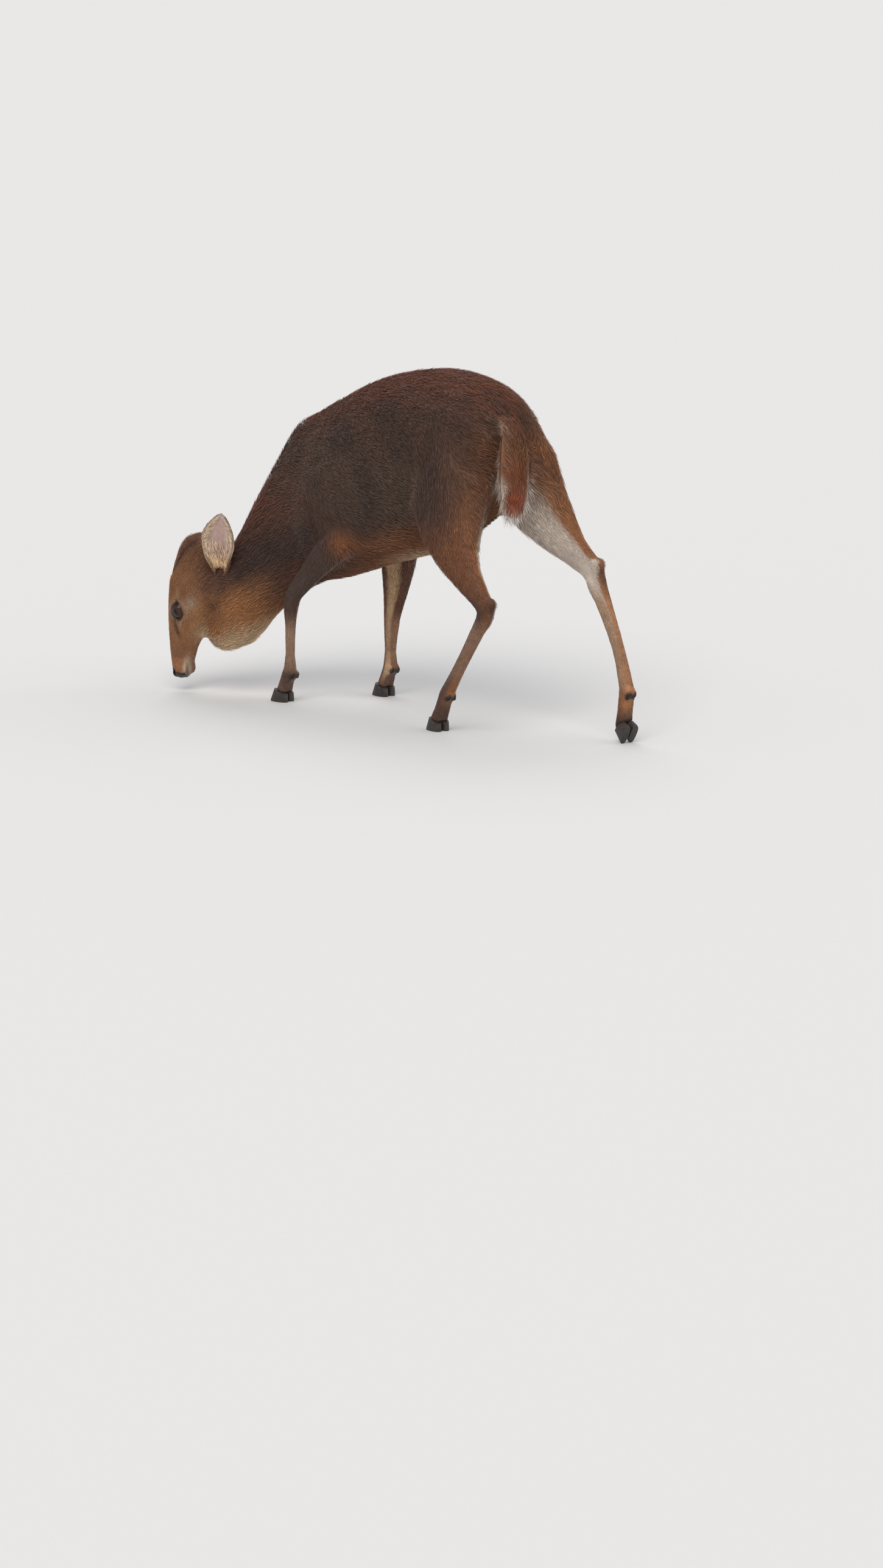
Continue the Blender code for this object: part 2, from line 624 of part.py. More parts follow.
def make_head():
    """The head with its ears, parted from the neck, and the two eyeballs in their lids."""
    head = joined("head", head_shapes())
    blend(head, HEAD_GRAIN, 4, HEAD_SHARE)
    for name, side in (("ear_left", 1), ("ear_right", -1)):
        ear(name, side, head)
    back = on_head(*HEAD_BACK)
    carve(head, [block(back, HEAD_BACK_NORMAL, NOSEWARD, (0.35, 0.35), 0.3)])
    lids = []
    for side in (-1, 1):
        middle = on_head(EYE_DOWN, EYE_OUT, side * EYE_SIDE)
        lids.append(sphere("lid", middle, EYE_RADIUS + LID))
    carve(head, lids, "UNION")
    cuts = face_cuts(head)
    for side in (-1, 1):
        middle = on_head(EYE_DOWN, EYE_OUT, side * EYE_SIDE)
        cuts.append(sphere("socket", middle, EYE_RADIUS + GAP))
    carve(head, cuts)
    for name, side in (("eye_left", 1), ("eye_right", -1)):
        sphere(name, on_head(EYE_DOWN, EYE_OUT, side * EYE_SIDE), EYE_RADIUS)
    return head


def make_hooves():
    for foot, (_, ground, heading, raised) in FEET.items():
        frame = foot_frame(ground, heading, raised)
        for side, name in ((-1, "right"), (1, "left")):
            hoof(f"hoof_{foot}_{name}", frame, side)


SEEDS = {
    "neck": (0.260, 0.060, 0.200),
    "chest": (0.140, 0.015, 0.300),
    "belly": (0.035, 0.000, 0.330),
    "rump": (-0.095, 0.000, 0.340),
    "foreleg_upper_left": (0.175, 0.078, 0.165),
    "foreleg_upper_right": (0.145, -0.051, 0.135),
    "foreleg_lower_left": (0.205, 0.080, 0.070),
    "foreleg_lower_right": (0.155, -0.051, 0.065),
    "hind_leg_upper_left": (-0.135, 0.066, 0.215),
    "hind_leg_upper_right": (-0.200, -0.056, 0.250),
    "hind_leg_lower_left": (-0.140, 0.068, 0.090),
    "hind_leg_lower_right": (-0.290, -0.060, 0.120),
}


def body_cuts():
    """The thin cuts that part the body, and the blocks that take away the head and the feet."""
    cuts = [
        block((0.221, 0.015, 0.280), (0.90, 0.42, 0.24), (0, 0, 1), (0.090, 0.185)),
        block((0.070, 0, 0.33), (1, 0, 0), (0, 0, 1), (0.2, 0.2)),
        block((0.004, 0, 0.33), (1, 0, 0), (0, 0, 1), (0.2, 0.2)),
        block((0.173, 0.081, 0.169), (0.72, 0.04, -0.69), (0, 1, 0), (0.026, 0.026)),
        block((0.141, -0.051, 0.152), (0.15, 0, -1), (0, 1, 0), (0.03, 0.03)),
        block((0.202, 0.080, 0.117), (0.05, 0, -1), (0, 1, 0), (0.03, 0.03)),
        block((0.149, -0.051, 0.100), (0.05, 0, -1), (0, 1, 0), (0.03, 0.03)),
        block((-0.105, 0.060, 0.246), (-0.45, 0, -1), (0, 1, 0), (0.08, 0.05)),
        block((-0.160, -0.055, 0.274), (-0.50, 0, -1), (0, 1, 0), (0.08, 0.05)),
        block((-0.181, 0.070, 0.156), (0.30, 0, -1), (0, 1, 0), (0.03, 0.03)),
        block((-0.262, -0.060, 0.192), (-0.40, 0, -1), (0, 1, 0), (0.03, 0.03)),
        block(on_head(*HEAD_BACK), -HEAD_BACK_NORMAL, NOSEWARD, (0.11, 0.12), GAP),
    ]
    for _, ground, heading, raised in FEET.values():
        cuts.append(coronet_block(foot_frame(ground, heading, raised), False))
    return cuts


# Colour and roughness of each kind of surface
COATS = {
    "coat_brown": ((0.075, 0.034, 0.018), 0.80),
    "coat_back": ((0.046, 0.022, 0.013), 0.80),
    "coat_rufous": ((0.200, 0.070, 0.026), 0.80),
    "coat_shank": ((0.150, 0.075, 0.043), 0.78),
    "coat_face": ((0.160, 0.066, 0.030), 0.75),
    "ear_skin": ((0.170, 0.085, 0.055), 0.70),
    "eye_dark": ((0.010, 0.005, 0.004), 0.08),
    "hoof_horn": ((0.020, 0.015, 0.012), 0.42),
}
WEARS = {
    "eye": "eye_dark",
    "hoof": "hoof_horn",
    "ear": "ear_skin",
    "head": "coat_face",
    "tail": "coat_rufous",
    "neck": "coat_brown",
    "chest": "coat_brown",
    "belly": "coat_back",
    "rump": "coat_back",
    "foreleg_upper": "coat_brown",
    "foreleg_lower": "coat_shank",
    "hind_leg_upper": "coat_rufous",
    "hind_leg_lower": "coat_shank",
}


def coat(name):
    """A Principled material of the given name, made once."""
    if name in bpy.data.materials:
        return bpy.data.materials[name]
    colour, rough = COATS[name]
    material = bpy.data.materials.new(name)
    material.use_nodes = True
    shader = material.node_tree.nodes["Principled BSDF"]
    shader.inputs["Base Color"].default_value = (*colour, 1)
    shader.inputs["Roughness"].default_value = rough
    shader.inputs["Metallic"].default_value = 0.0
    material.diffuse_color = (*colour, 1)
    return material


def finish():
    """Gives each piece its material and an origin at its own middle, and hangs all of them on one empty.

    The empty stands the middle of the whole animal's box over the origin.
    """
    root = bpy.data.objects.new("muntjac", None)
    bpy.context.scene.collection.objects.link(root)
    low, high = [], []
    for obj in [obj for obj in bpy.data.objects if obj.type == "MESH"]:
        corners = np.array([vertex.co[:] for vertex in obj.data.vertices])
        low.append(corners.min(axis=0))
        high.append(corners.max(axis=0))
        middle = Vector((low[-1] + high[-1]) / 2)
        obj.data.transform(Matrix.Translation(-middle))
        obj.location = middle
        obj.parent = root
        kind = max((key for key in WEARS if obj.name.startswith(key)), key=len)
        obj.data.materials.clear()
        obj.data.materials.append(coat(WEARS[kind]))
        obj.data.shade_smooth()
        obj.data.set_sharp_from_angle(angle=math.radians(50))
    middle = (np.min(low, axis=0) + np.max(high, axis=0)) / 2
    root.location = (-middle[0], -middle[1], 0)


def main():
    clear_scene()
    body = joined("body", body_shapes())
    blend(body, BODY_GRAIN, 5, BODY_SHARE, 0.225)
    near = swollen(body, GAP * 1.3)
    tail = joined("tail", [tube(TAIL, (-1, 0, 0), sides=20, steps=4)])
    carve(tail, [near])
    part_out(tail, {"tail": (-0.19, 0.02, 0.35)})
    carve(body, body_cuts())
    part_out(body, SEEDS | {"old_head": (0.34, 0.11, 0.12)})
    bpy.data.objects.remove(bpy.data.objects["old_head"], do_unlink=True)
    make_head()
    make_hooves()
    finish()


main()
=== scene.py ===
"""A Reeves's muntjac in its winter coat, life size, walking with its nose at the ground."""

import math

import bmesh
import bpy
import numpy as np
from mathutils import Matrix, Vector


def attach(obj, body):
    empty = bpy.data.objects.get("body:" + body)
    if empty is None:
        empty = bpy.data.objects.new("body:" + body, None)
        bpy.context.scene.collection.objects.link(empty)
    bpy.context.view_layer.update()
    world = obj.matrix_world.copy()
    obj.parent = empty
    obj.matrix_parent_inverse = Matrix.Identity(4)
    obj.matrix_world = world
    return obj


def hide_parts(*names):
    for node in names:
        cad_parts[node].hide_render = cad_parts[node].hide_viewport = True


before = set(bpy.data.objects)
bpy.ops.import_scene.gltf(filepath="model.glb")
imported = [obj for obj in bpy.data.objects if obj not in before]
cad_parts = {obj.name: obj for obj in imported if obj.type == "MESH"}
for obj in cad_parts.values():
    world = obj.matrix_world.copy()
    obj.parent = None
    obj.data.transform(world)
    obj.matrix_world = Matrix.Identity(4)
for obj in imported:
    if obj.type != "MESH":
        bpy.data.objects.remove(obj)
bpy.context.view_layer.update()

# The lie of the coat. A deer's hair lies back from the nose and down each leg. Each row is one length of
# the body: where it starts and ends in metres, its half thickness, the length of its hair, the width of a
# lock and how deep the coat stands over the skin. Every hair reads its direction and size from them.
MIDDLE = np.array([0.032161, 0.039445, 0.0])
HEAD_TOP = np.array([0.385, 0.144, 0.205])
FOREHEAD = np.array([math.cos(math.radians(35)), math.sin(math.radians(35)), 0.0])
HEAD_LEFT = np.array([-math.sin(math.radians(35)), math.cos(math.radians(35)), 0.0])
NOSEWARD = np.array([0.0, 0.0, -1.0])


def on_head(down, out, side=0.0):
    """A point down the face from the crown, out past the line of the face and to the left."""
    return HEAD_TOP + NOSEWARD * down + FOREHEAD * out + HEAD_LEFT * side


LENGTHS = [
    ("muzzle", on_head(0.187, -0.020), on_head(0.120, -0.026), 0.016, 0.0032, 0.00039, 0.0004),
    ("face", on_head(0.120, -0.028), on_head(0.055, -0.042), 0.030, 0.0052, 0.00052, 0.0008),
    ("face", on_head(0.055, -0.045), on_head(0.000, -0.070), 0.030, 0.0085, 0.00068, 0.0016),
    ("neck", on_head(0.128, -0.058), (0.300, 0.086, 0.128), 0.036, 0.0115, 0.00083, 0.0026),
    ("neck", (0.318, 0.098, 0.165), (0.275, 0.068, 0.190), 0.045, 0.0140, 0.00104, 0.0036),
    ("neck", (0.275, 0.068, 0.190), (0.220, 0.026, 0.268), 0.060, 0.0160, 0.00114, 0.0042),
    ("trunk", (0.220, 0.022, 0.280), (0.120, 0.007, 0.312), 0.072, 0.0160, 0.00114, 0.0044),
    ("trunk", (0.120, 0.007, 0.312), (0.000, 0.000, 0.335), 0.080, 0.0160, 0.00114, 0.0044),
    ("trunk", (0.000, 0.000, 0.335), (-0.100, 0.002, 0.362), 0.080, 0.0160, 0.00114, 0.0044),
    ("trunk", (-0.100, 0.002, 0.362), (-0.180, 0.007, 0.380), 0.062, 0.0165, 0.00114, 0.0044),
    ("fore_left", (0.165, 0.060, 0.290), (0.122, 0.064, 0.235), 0.028, 0.0130, 0.00094, 0.0034),
    ("fore_left", (0.122, 0.066, 0.232), (0.160, 0.075, 0.186), 0.022, 0.0095, 0.00073, 0.0022),
    ("fore_left", (0.160, 0.075, 0.186), (0.196, 0.080, 0.145), 0.0155, 0.0060, 0.00057, 0.0011),
    ("fore_left", (0.203, 0.080, 0.145), (0.204, 0.080, 0.050), 0.0095, 0.0048, 0.00047, 0.0006),
    ("fore_left", (0.205, 0.080, 0.050), (0.218, 0.081, 0.010), 0.0110, 0.0042, 0.00047, 0.0006),
    ("fore_right", (0.152, -0.040, 0.290), (0.133, -0.048, 0.215), 0.032, 0.0130, 0.00094, 0.0034),
    ("fore_right", (0.133, -0.049, 0.215), (0.142, -0.051, 0.145), 0.0210, 0.0085, 0.00068, 0.0018),
    ("fore_right", (0.142, -0.051, 0.145), (0.152, -0.051, 0.050), 0.0105, 0.0050, 0.00047, 0.0007),
    ("fore_right", (0.152, -0.051, 0.050), (0.165, -0.051, 0.010), 0.0110, 0.0042, 0.00047, 0.0006),
    ("hind_left", (-0.085, 0.046, 0.360), (-0.096, 0.056, 0.285), 0.046, 0.0155, 0.00109, 0.0042),
    ("hind_left", (-0.096, 0.056, 0.285), (-0.135, 0.065, 0.225), 0.030, 0.0115, 0.00083, 0.0028),
    ("hind_left", (-0.135, 0.065, 0.225), (-0.186, 0.070, 0.172), 0.0170, 0.0070, 0.00062, 0.0013),
    ("hind_left", (-0.186, 0.070, 0.172), (-0.106, 0.067, 0.055), 0.0105, 0.0050, 0.00047, 0.0007),
    ("hind_left", (-0.106, 0.067, 0.055), (-0.088, 0.066, 0.010), 0.0110, 0.0042, 0.00047, 0.0006),
    ("hind_right", (-0.110, -0.040, 0.375), (-0.140, -0.050, 0.300), 0.046, 0.0155, 0.00109, 0.0042),
    ("hind_right", (-0.140, -0.050, 0.300), (-0.200, -0.056, 0.250), 0.030, 0.0115, 0.00083, 0.0028),
    ("hind_right", (-0.200, -0.056, 0.250), (-0.255, -0.060, 0.210), 0.0180, 0.0070, 0.00062, 0.0014),
    ("hind_right", (-0.255, -0.060, 0.210), (-0.316, -0.060, 0.070), 0.0110, 0.0052, 0.00047, 0.0007),
    ("hind_right", (-0.316, -0.060, 0.070), (-0.322, -0.060, 0.020), 0.0110, 0.0042, 0.00047, 0.0006),
    ("tail", (-0.172, 0.016, 0.408), (-0.191, 0.024, 0.360), 0.020, 0.0170, 0.00099, 0.0034),
    ("tail", (-0.191, 0.024, 0.360), (-0.190, 0.025, 0.290), 0.023, 0.0200, 0.00099, 0.0030),
]
PARTS = ["muzzle", "face", "neck", "trunk", "fore_left", "fore_right", "hind_left", "hind_right", "tail"]
STARTS = np.array([row[1] for row in LENGTHS])
RUNS = np.array([row[2] for row in LENGTHS]) - STARTS
SIZES = np.array([row[3:] for row in LENGTHS])
WAYS = RUNS / np.linalg.norm(RUNS, axis=1)[:, None]


def coat_at(points):
    """Direction, hair length, lock width, depth and share of each part, blended by nearness to the lengths.

    The weight of a length is one over the sixth power of the distance to it in its own half thicknesses.
    """
    ways, sizes, shares = [], [], []
    for chunk in np.array_split(points, max(1, len(points) // 20000)):
        off = chunk[:, None] - STARTS
        t = np.clip((off * RUNS).sum(2) / (RUNS * RUNS).sum(1), 0, 1)
        gap = np.linalg.norm(off - t[..., None] * RUNS, axis=2) / SIZES[:, 0]
        weight = (gap + 0.15) ** -6.0
        weight /= weight.sum(1, keepdims=True)
        ways.append(weight @ WAYS)
        sizes.append(weight @ SIZES[:, 1:])
        shares.append(np.stack([weight[:, [row[0] == part for row in LENGTHS]].sum(1) for part in PARTS], 1))
    sizes = np.concatenate(sizes)
    share = dict(zip(PARTS, np.concatenate(shares).T))
    return np.concatenate(ways), sizes[:, 0], sizes[:, 1], sizes[:, 2], share


# The skin. Hide over the flesh, with no seam from the lips to the coronets: the flesh nodes of the frame
# fused into one surface, finer on the head and finest round the eyes, the lips and the nose, and set in
# from them by the depth of the coat.
FLESH = ["head", "neck", "chest", "belly", "rump", "tail"]
FLESH += [f"{leg}_{length}_{side}" for leg in ("foreleg", "hind_leg") for length in ("upper", "lower")
          for side in ("left", "right")]
SKIN_GRAIN = 0.0018
EYE_DOWN, EYE_OUT, EYE_SIDE, EYE_RADIUS = 0.090, -0.0225, 0.0228, 0.0124
EYE_OUTWARD = np.array([0.90, 0.28, 0.26]) / np.linalg.norm([0.90, 0.28, 0.26])


def corners_of(obj):
    """The points and triangles of a mesh object as arrays."""
    mesh = obj.data
    mesh.calc_loop_triangles()
    points = np.empty(len(mesh.vertices) * 3, np.float32)
    mesh.vertices.foreach_get("co", points)
    faces = np.empty(len(mesh.loop_triangles) * 3, np.int32)
    mesh.loop_triangles.foreach_get("vertices", faces)
    return points.reshape(-1, 3).astype(float), faces.reshape(-1, 3)


def new_piece(name, points, faces):
    """A mesh object in the scene from arrays of points and of faces that all have as many corners."""
    mesh = bpy.data.meshes.new(name)
    count, sides = np.shape(faces)
    mesh.vertices.add(len(points))
    mesh.vertices.foreach_set("co", np.asarray(points, np.float32).ravel())
    mesh.loops.add(count * sides)
    mesh.loops.foreach_set("vertex_index", np.asarray(faces, np.int32).ravel())
    mesh.polygons.add(count)
    mesh.polygons.foreach_set("loop_start", np.arange(count, dtype=np.int32) * sides)
    mesh.update(calc_edges=True)
    mesh.shade_smooth()
    obj = bpy.data.objects.new(name, mesh)
    bpy.context.scene.collection.objects.link(obj)
    return obj


def settle(obj):
    """Applies the object's modifiers."""
    graph = bpy.context.evaluated_depsgraph_get()
    mesh = bpy.data.meshes.new_from_object(obj.evaluated_get(graph))
    obj.modifiers.clear()
    obj.data = mesh


def soften(obj, rounds, weights=None):
    """Rounds of evening out, held back where the weights are low."""
    change = obj.modifiers.new("soften", "SMOOTH")
    change.factor = 0.5
    change.iterations = rounds
    if weights is not None:
        change.vertex_group = paint(obj, "soften", weights)
    settle(obj)


def paint(obj, name, weights):
    """A vertex group of the given weights, in twenty steps, and its name."""
    group = obj.vertex_groups.new(name=name)
    steps = np.round(np.clip(weights, 0, 1) * 20).astype(int)
    for step in range(1, 21):
        found = np.flatnonzero(steps == step)
        if len(found):
            group.add(found.tolist(), step / 20, "REPLACE")
    return name


def places_of(obj):
    """The object's points in the maker's drawing, where the ground lies under the trunk."""
    points = np.empty(len(obj.data.vertices) * 3, np.float32)
    obj.data.vertices.foreach_get("co", points)
    return points.reshape(-1, 3).astype(float) + MIDDLE


def normals_of(obj):
    normals = np.empty(len(obj.data.vertices) * 3, np.float32)
    obj.data.vertices.foreach_get("normal", normals)
    return normals.reshape(-1, 3).astype(float)


def move_to(obj, places):
    obj.data.vertices.foreach_set("co", (places - MIDDLE).astype(np.float32).ravel())
    obj.data.update()


def ramp(value, low, high):
    """Nought below low, one above high and an S curve between them."""
    t = np.clip((value - low) / (high - low), 0, 1)
    return t * t * (3 - 2 * t)


def face_places(points):
    """The points' places on the head: down from the crown, out past the line of the face and to the left."""
    off = points - HEAD_TOP
    return off @ NOSEWARD, off @ FOREHEAD, off @ HEAD_LEFT


def refine(obj, wanted):
    """Splits into four each face whose corners are all wanted."""
    mesh = bmesh.new()
    mesh.from_mesh(obj.data)
    mesh.verts.ensure_lookup_table()
    keep = wanted
    edges = [edge for edge in mesh.edges if keep[edge.verts[0].index] and keep[edge.verts[1].index]]
    bmesh.ops.subdivide_edges(mesh, edges=edges, cuts=1, use_grid_fill=True, smooth=0.0)
    mesh.to_mesh(obj.data)
    mesh.free()


def from_line(points, path):
    """Distance to a line through the rows of path, and how far along it the nearest place is, 0 to 1."""
    path = np.asarray(path, float)
    best = np.full(len(points), 1e9)
    along = np.zeros(len(points))
    for i, (a, b) in enumerate(zip(path, path[1:])):
        run = b - a
        t = np.clip(((points - a) @ run) / (run @ run), 0, 1)
        gap = np.linalg.norm(points - a - t[:, None] * run, axis=1)
        nearer = gap < best
        best[nearer] = gap[nearer]
        along[nearer] = (i + t[nearer]) / (len(path) - 1)
    return best, along


def eye_frame(side):
    """The middle of the eyeball, out of the eye, along its opening towards the nose, and across it."""
    axes = np.array([HEAD_LEFT * side, FOREHEAD, NOSEWARD])
    outward = EYE_OUTWARD @ axes
    along = NOSEWARD * 0.95 + FOREHEAD * 0.12
    along = along - outward * (along @ outward)
    along /= np.linalg.norm(along)
    return on_head(EYE_DOWN, EYE_OUT, side * EYE_SIDE), outward, along, np.cross(outward, along)


def fused_skin():
    """The fused, evened and refined surface, before the face is drawn in."""
    points, faces, start = [], [], 0
    for name in FLESH + ["eye_left", "eye_right"]:
        part_points, part_faces = corners_of(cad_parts[name])
        points.append(part_points)
        faces.append(part_faces + start)
        start += len(part_points)
    obj = new_piece("skin", np.vstack(points), np.vstack(faces))
    fuse = obj.modifiers.new("fuse", "REMESH")
    fuse.mode = "VOXEL"
    fuse.voxel_size = SKIN_GRAIN
    settle(obj)
    places = places_of(obj)
    share = coat_at(places)[4]
    soften(obj, 24, ramp(share["trunk"] + share["neck"] + share["tail"], 0.3, 0.9))
    soften(obj, 3)
    down, out, side = face_places(places_of(obj))
    soften(obj, 45, np.exp(-((out + 0.089 + 0.062 * (down - 0.055)) / 0.012) ** 2) * (down > -0.09))
    soften(obj, 30, np.exp(-((out + 0.062) / 0.016) ** 2) * ramp(down, 0.085, 0.105) * 0.9)
    down, out, side = face_places(places_of(obj))
    on_face = (out > -0.078) & (down > -0.02) & (down < 0.2) & (np.abs(side) < 0.06)
    refine(obj, on_face)
    soften(obj, 2)
    places = places_of(obj)
    down, out, side = face_places(places)
    near = (down > 0.150) & (out > -0.05) & (np.abs(side) < 0.03)
    for turn in (1, -1):
        middle = eye_frame(turn)[0]
        near |= np.linalg.norm(places - middle, axis=1) < 0.021
    refine(obj, near)
    soften(obj, 1)
    return obj


skin = fused_skin()


# The face. Lips, nostrils, glands, brow and lids are folds of the same skin, so they are pressed into it and
# raised on it, each by its distance from a line or a point on the head.
MOUTH = [(0.136, -0.0335, 1.3), (0.150, -0.0330, 1.25), (0.164, -0.0305, 1.1), (0.176, -0.0285, 0.75),
         (0.1845, -0.0270, 0.35), (0.1875, -0.0265, 0.0)]
MUZZLE_HALF = 0.0165


def draw_face(obj):
    """Moves the points of the face along their normals, in metres outwards."""
    places, normals = places_of(obj), normals_of(obj)
    down, out, side = face_places(places)
    local = np.stack([down, out, side], 1)
    lift = np.zeros(len(places))
    muzzle = ramp(down, 0.120, 0.150)
    for turn in (1, -1):
        path = [(d, o, turn * w * MUZZLE_HALF) for d, o, w in MOUTH]
        flat = local.copy()
        gap, along = from_line(flat * [1, 1, 0.55], np.array(path) * [1, 1, 0.55])
        mine = (side * turn > -0.001) & (down > 0.125)
        lift -= mine * 0.0019 * np.exp(-(gap / 0.0008) ** 2) * ramp(along, 0.0, 0.12)
        lift += mine * 0.0007 * np.exp(-((gap - 0.0026) / 0.0016) ** 2) * ramp(along, 0.05, 0.5)
        # Nostrils, drawn back and up into a comma, with a raised wing
        nostril = [(0.1805, -0.0105, turn * 0.0050), (0.1785, -0.0095, turn * 0.0085),
                   (0.1745, -0.0115, turn * 0.0105)]
        gap, along = from_line(local, nostril)
        lift -= 0.0042 * np.exp(-(gap / (0.0022 - 0.0008 * along)) ** 4)
        lift += 0.0010 * np.exp(-((gap - 0.0036) / 0.0013) ** 2)
        # The gland before the eye, a slit with swollen lips, and the one on the brow
        slit = [(0.1045, -0.0150, turn * 0.0300), (0.113, -0.0165, turn * 0.0270),
                (0.1245, -0.0195, turn * 0.0235)]
        gap, along = from_line(local * [1, 1, 0.5], np.array(slit) * [1, 1, 0.5])
        mine = side * turn > 0.008
        lift -= mine * 0.0028 * np.exp(-(gap / 0.0011) ** 2)
        lift += mine * 0.0011 * np.exp(-((gap - 0.0027) / 0.0014) ** 2)
        brow = [(0.088, 0.0, turn * 0.0065), (0.072, 0.0, turn * 0.0095), (0.052, 0.0, turn * 0.0150)]
        gap, along = from_line(local * [1, 0, 1], np.array(brow) * [1, 0, 1])
        mine = out > -0.03
        lift -= mine * 0.0012 * np.exp(-(gap / 0.0010) ** 2)
        lift += mine * 0.0005 * np.exp(-((gap - 0.0024) / 0.0014) ** 2)
    # The groove down the middle of the upper lip, and the nose pad's rim
    middle = np.abs(side)
    lift -= 0.0007 * np.exp(-(middle / 0.0007) ** 2) * ramp(down, 0.174, 0.180) * (out > -0.027)
    rim = nose_pad(local)
    lift += 0.0005 * ramp(rim, 0.0, 0.5) * muzzle
    places = places + normals * lift[:, None]
    for turn in (1, -1):
        places = draw_lids(places, turn)
    move_to(obj, places)


def nose_pad(local):
    """How far inside the naked pad of the nose a place is: one well inside, nought at its edge and below."""
    down, out, side = local.T
    wide = 0.0125 * ramp(down, 0.158, 0.176) + 0.0005
    lowest = ramp(-out, 0.0265, 0.0235)
    return np.clip((wide - np.abs(side)) / 0.003, -1, 1) * lowest * (down > 0.160)


def lid_edge(a, b):
    """Below one inside the almond of the eye's opening, for places along it and across it in metres."""
    a = a / 0.0116
    droop = 0.0012 * a
    b = (b - droop) / np.where(b > droop, 0.0074, 0.0064)
    return np.sqrt(a * a + (np.abs(b) / np.sqrt(np.clip(1 - 0.55 * a * a, 0.05, 1))) ** 2)


def draw_lids(places, turn):
    """Presses the skin in over the eyeball inside the almond, and raises the lids and their folds round
    it."""
    middle, outward, along, across = eye_frame(turn)
    off = places - middle
    reach = np.linalg.norm(off, axis=1)
    a, b, c = off @ along, off @ across, off @ outward
    near = (reach < 0.021) & (c > 0)
    edge = lid_edge(a, b)
    ray = off / np.maximum(reach, 1e-6)[:, None]
    inside = near & (edge < 1.0)
    depth = EYE_RADIUS - 0.0028 * ramp(1 - edge, -0.02, 0.16)
    wanted = np.where(inside, depth, reach)
    rise = near & (edge >= 1.0)
    lid = EYE_RADIUS + 0.0014 * ramp(edge, 0.98, 1.10)
    fold = 0.0006 * np.exp(-((edge - 1.42) / 0.10) ** 2) - 0.0009 * np.exp(-((edge - 1.26) / 0.06) ** 2)
    blend = ramp(1.75 - edge, 0.0, 0.45)
    wanted = np.where(rise, reach + (lid - reach) * blend + fold * near, wanted)
    return middle + ray * wanted[:, None]


draw_face(skin)
SKIN_TRIANGLES = 150000
thin = skin.modifiers.new("thin", "DECIMATE")
thin.ratio = SKIN_TRIANGLES / (2 * len(skin.data.polygons))
settle(skin)

# The skin goes in by the depth of the coat, then it gets its own unwrap
places = places_of(skin)
depth = coat_at(places)[3]
move_to(skin, places - normals_of(skin) * depth[:, None])
skin.data.shade_smooth()


# The colours of the coat. Hair is grey-brown and dark on the back, reddish behind, golden on the head and
# pale inside the thighs, under the tail, on the throat and on the belly. Skin and coat take them alike.
def tint(red, green, blue):
    """A colour as a screen shows it, 0 to 255, turned to linear light."""
    value = np.array([red, green, blue]) / 255
    return np.where(value <= 0.04045, value / 12.92, ((value + 0.055) / 1.055) ** 2.4)


def wash(colours, colour, amount):
    """Lays a colour over the ones there, by an amount from nought to one."""
    return colours + (colour - colours) * np.clip(amount, 0, 1)[:, None]


def drift(points, size, seed):
    """A slow uneven drift between minus one and one: six sine waves of about that size, in random
    directions."""
    chance = np.random.default_rng(seed)
    total = np.zeros(len(points))
    for _ in range(6):
        way = chance.normal(size=3)
        way *= 2 * math.pi / (size * chance.uniform(0.6, 1.6)) / np.linalg.norm(way)
        total += np.sin(points @ way + chance.uniform(0, 6.3))
    return total / 3.2


DEW_CLAWS = []
for fetlock, heading in (((0.205, 0.080, 0.042), 12), ((0.152, -0.051, 0.042), 4),
                         ((-0.106, 0.067, 0.052), -2),
                         ((-0.316, -0.060, 0.070), -4)):
    ahead = np.array([math.cos(math.radians(heading)), math.sin(math.radians(heading)), 0])
    DEW_CLAWS += [np.array(fetlock) - ahead * 0.0125 + np.array([-ahead[1], ahead[0], 0]) * turn * 0.0055
                  - np.array([0, 0, 0.0075]) for turn in (1, -1)]


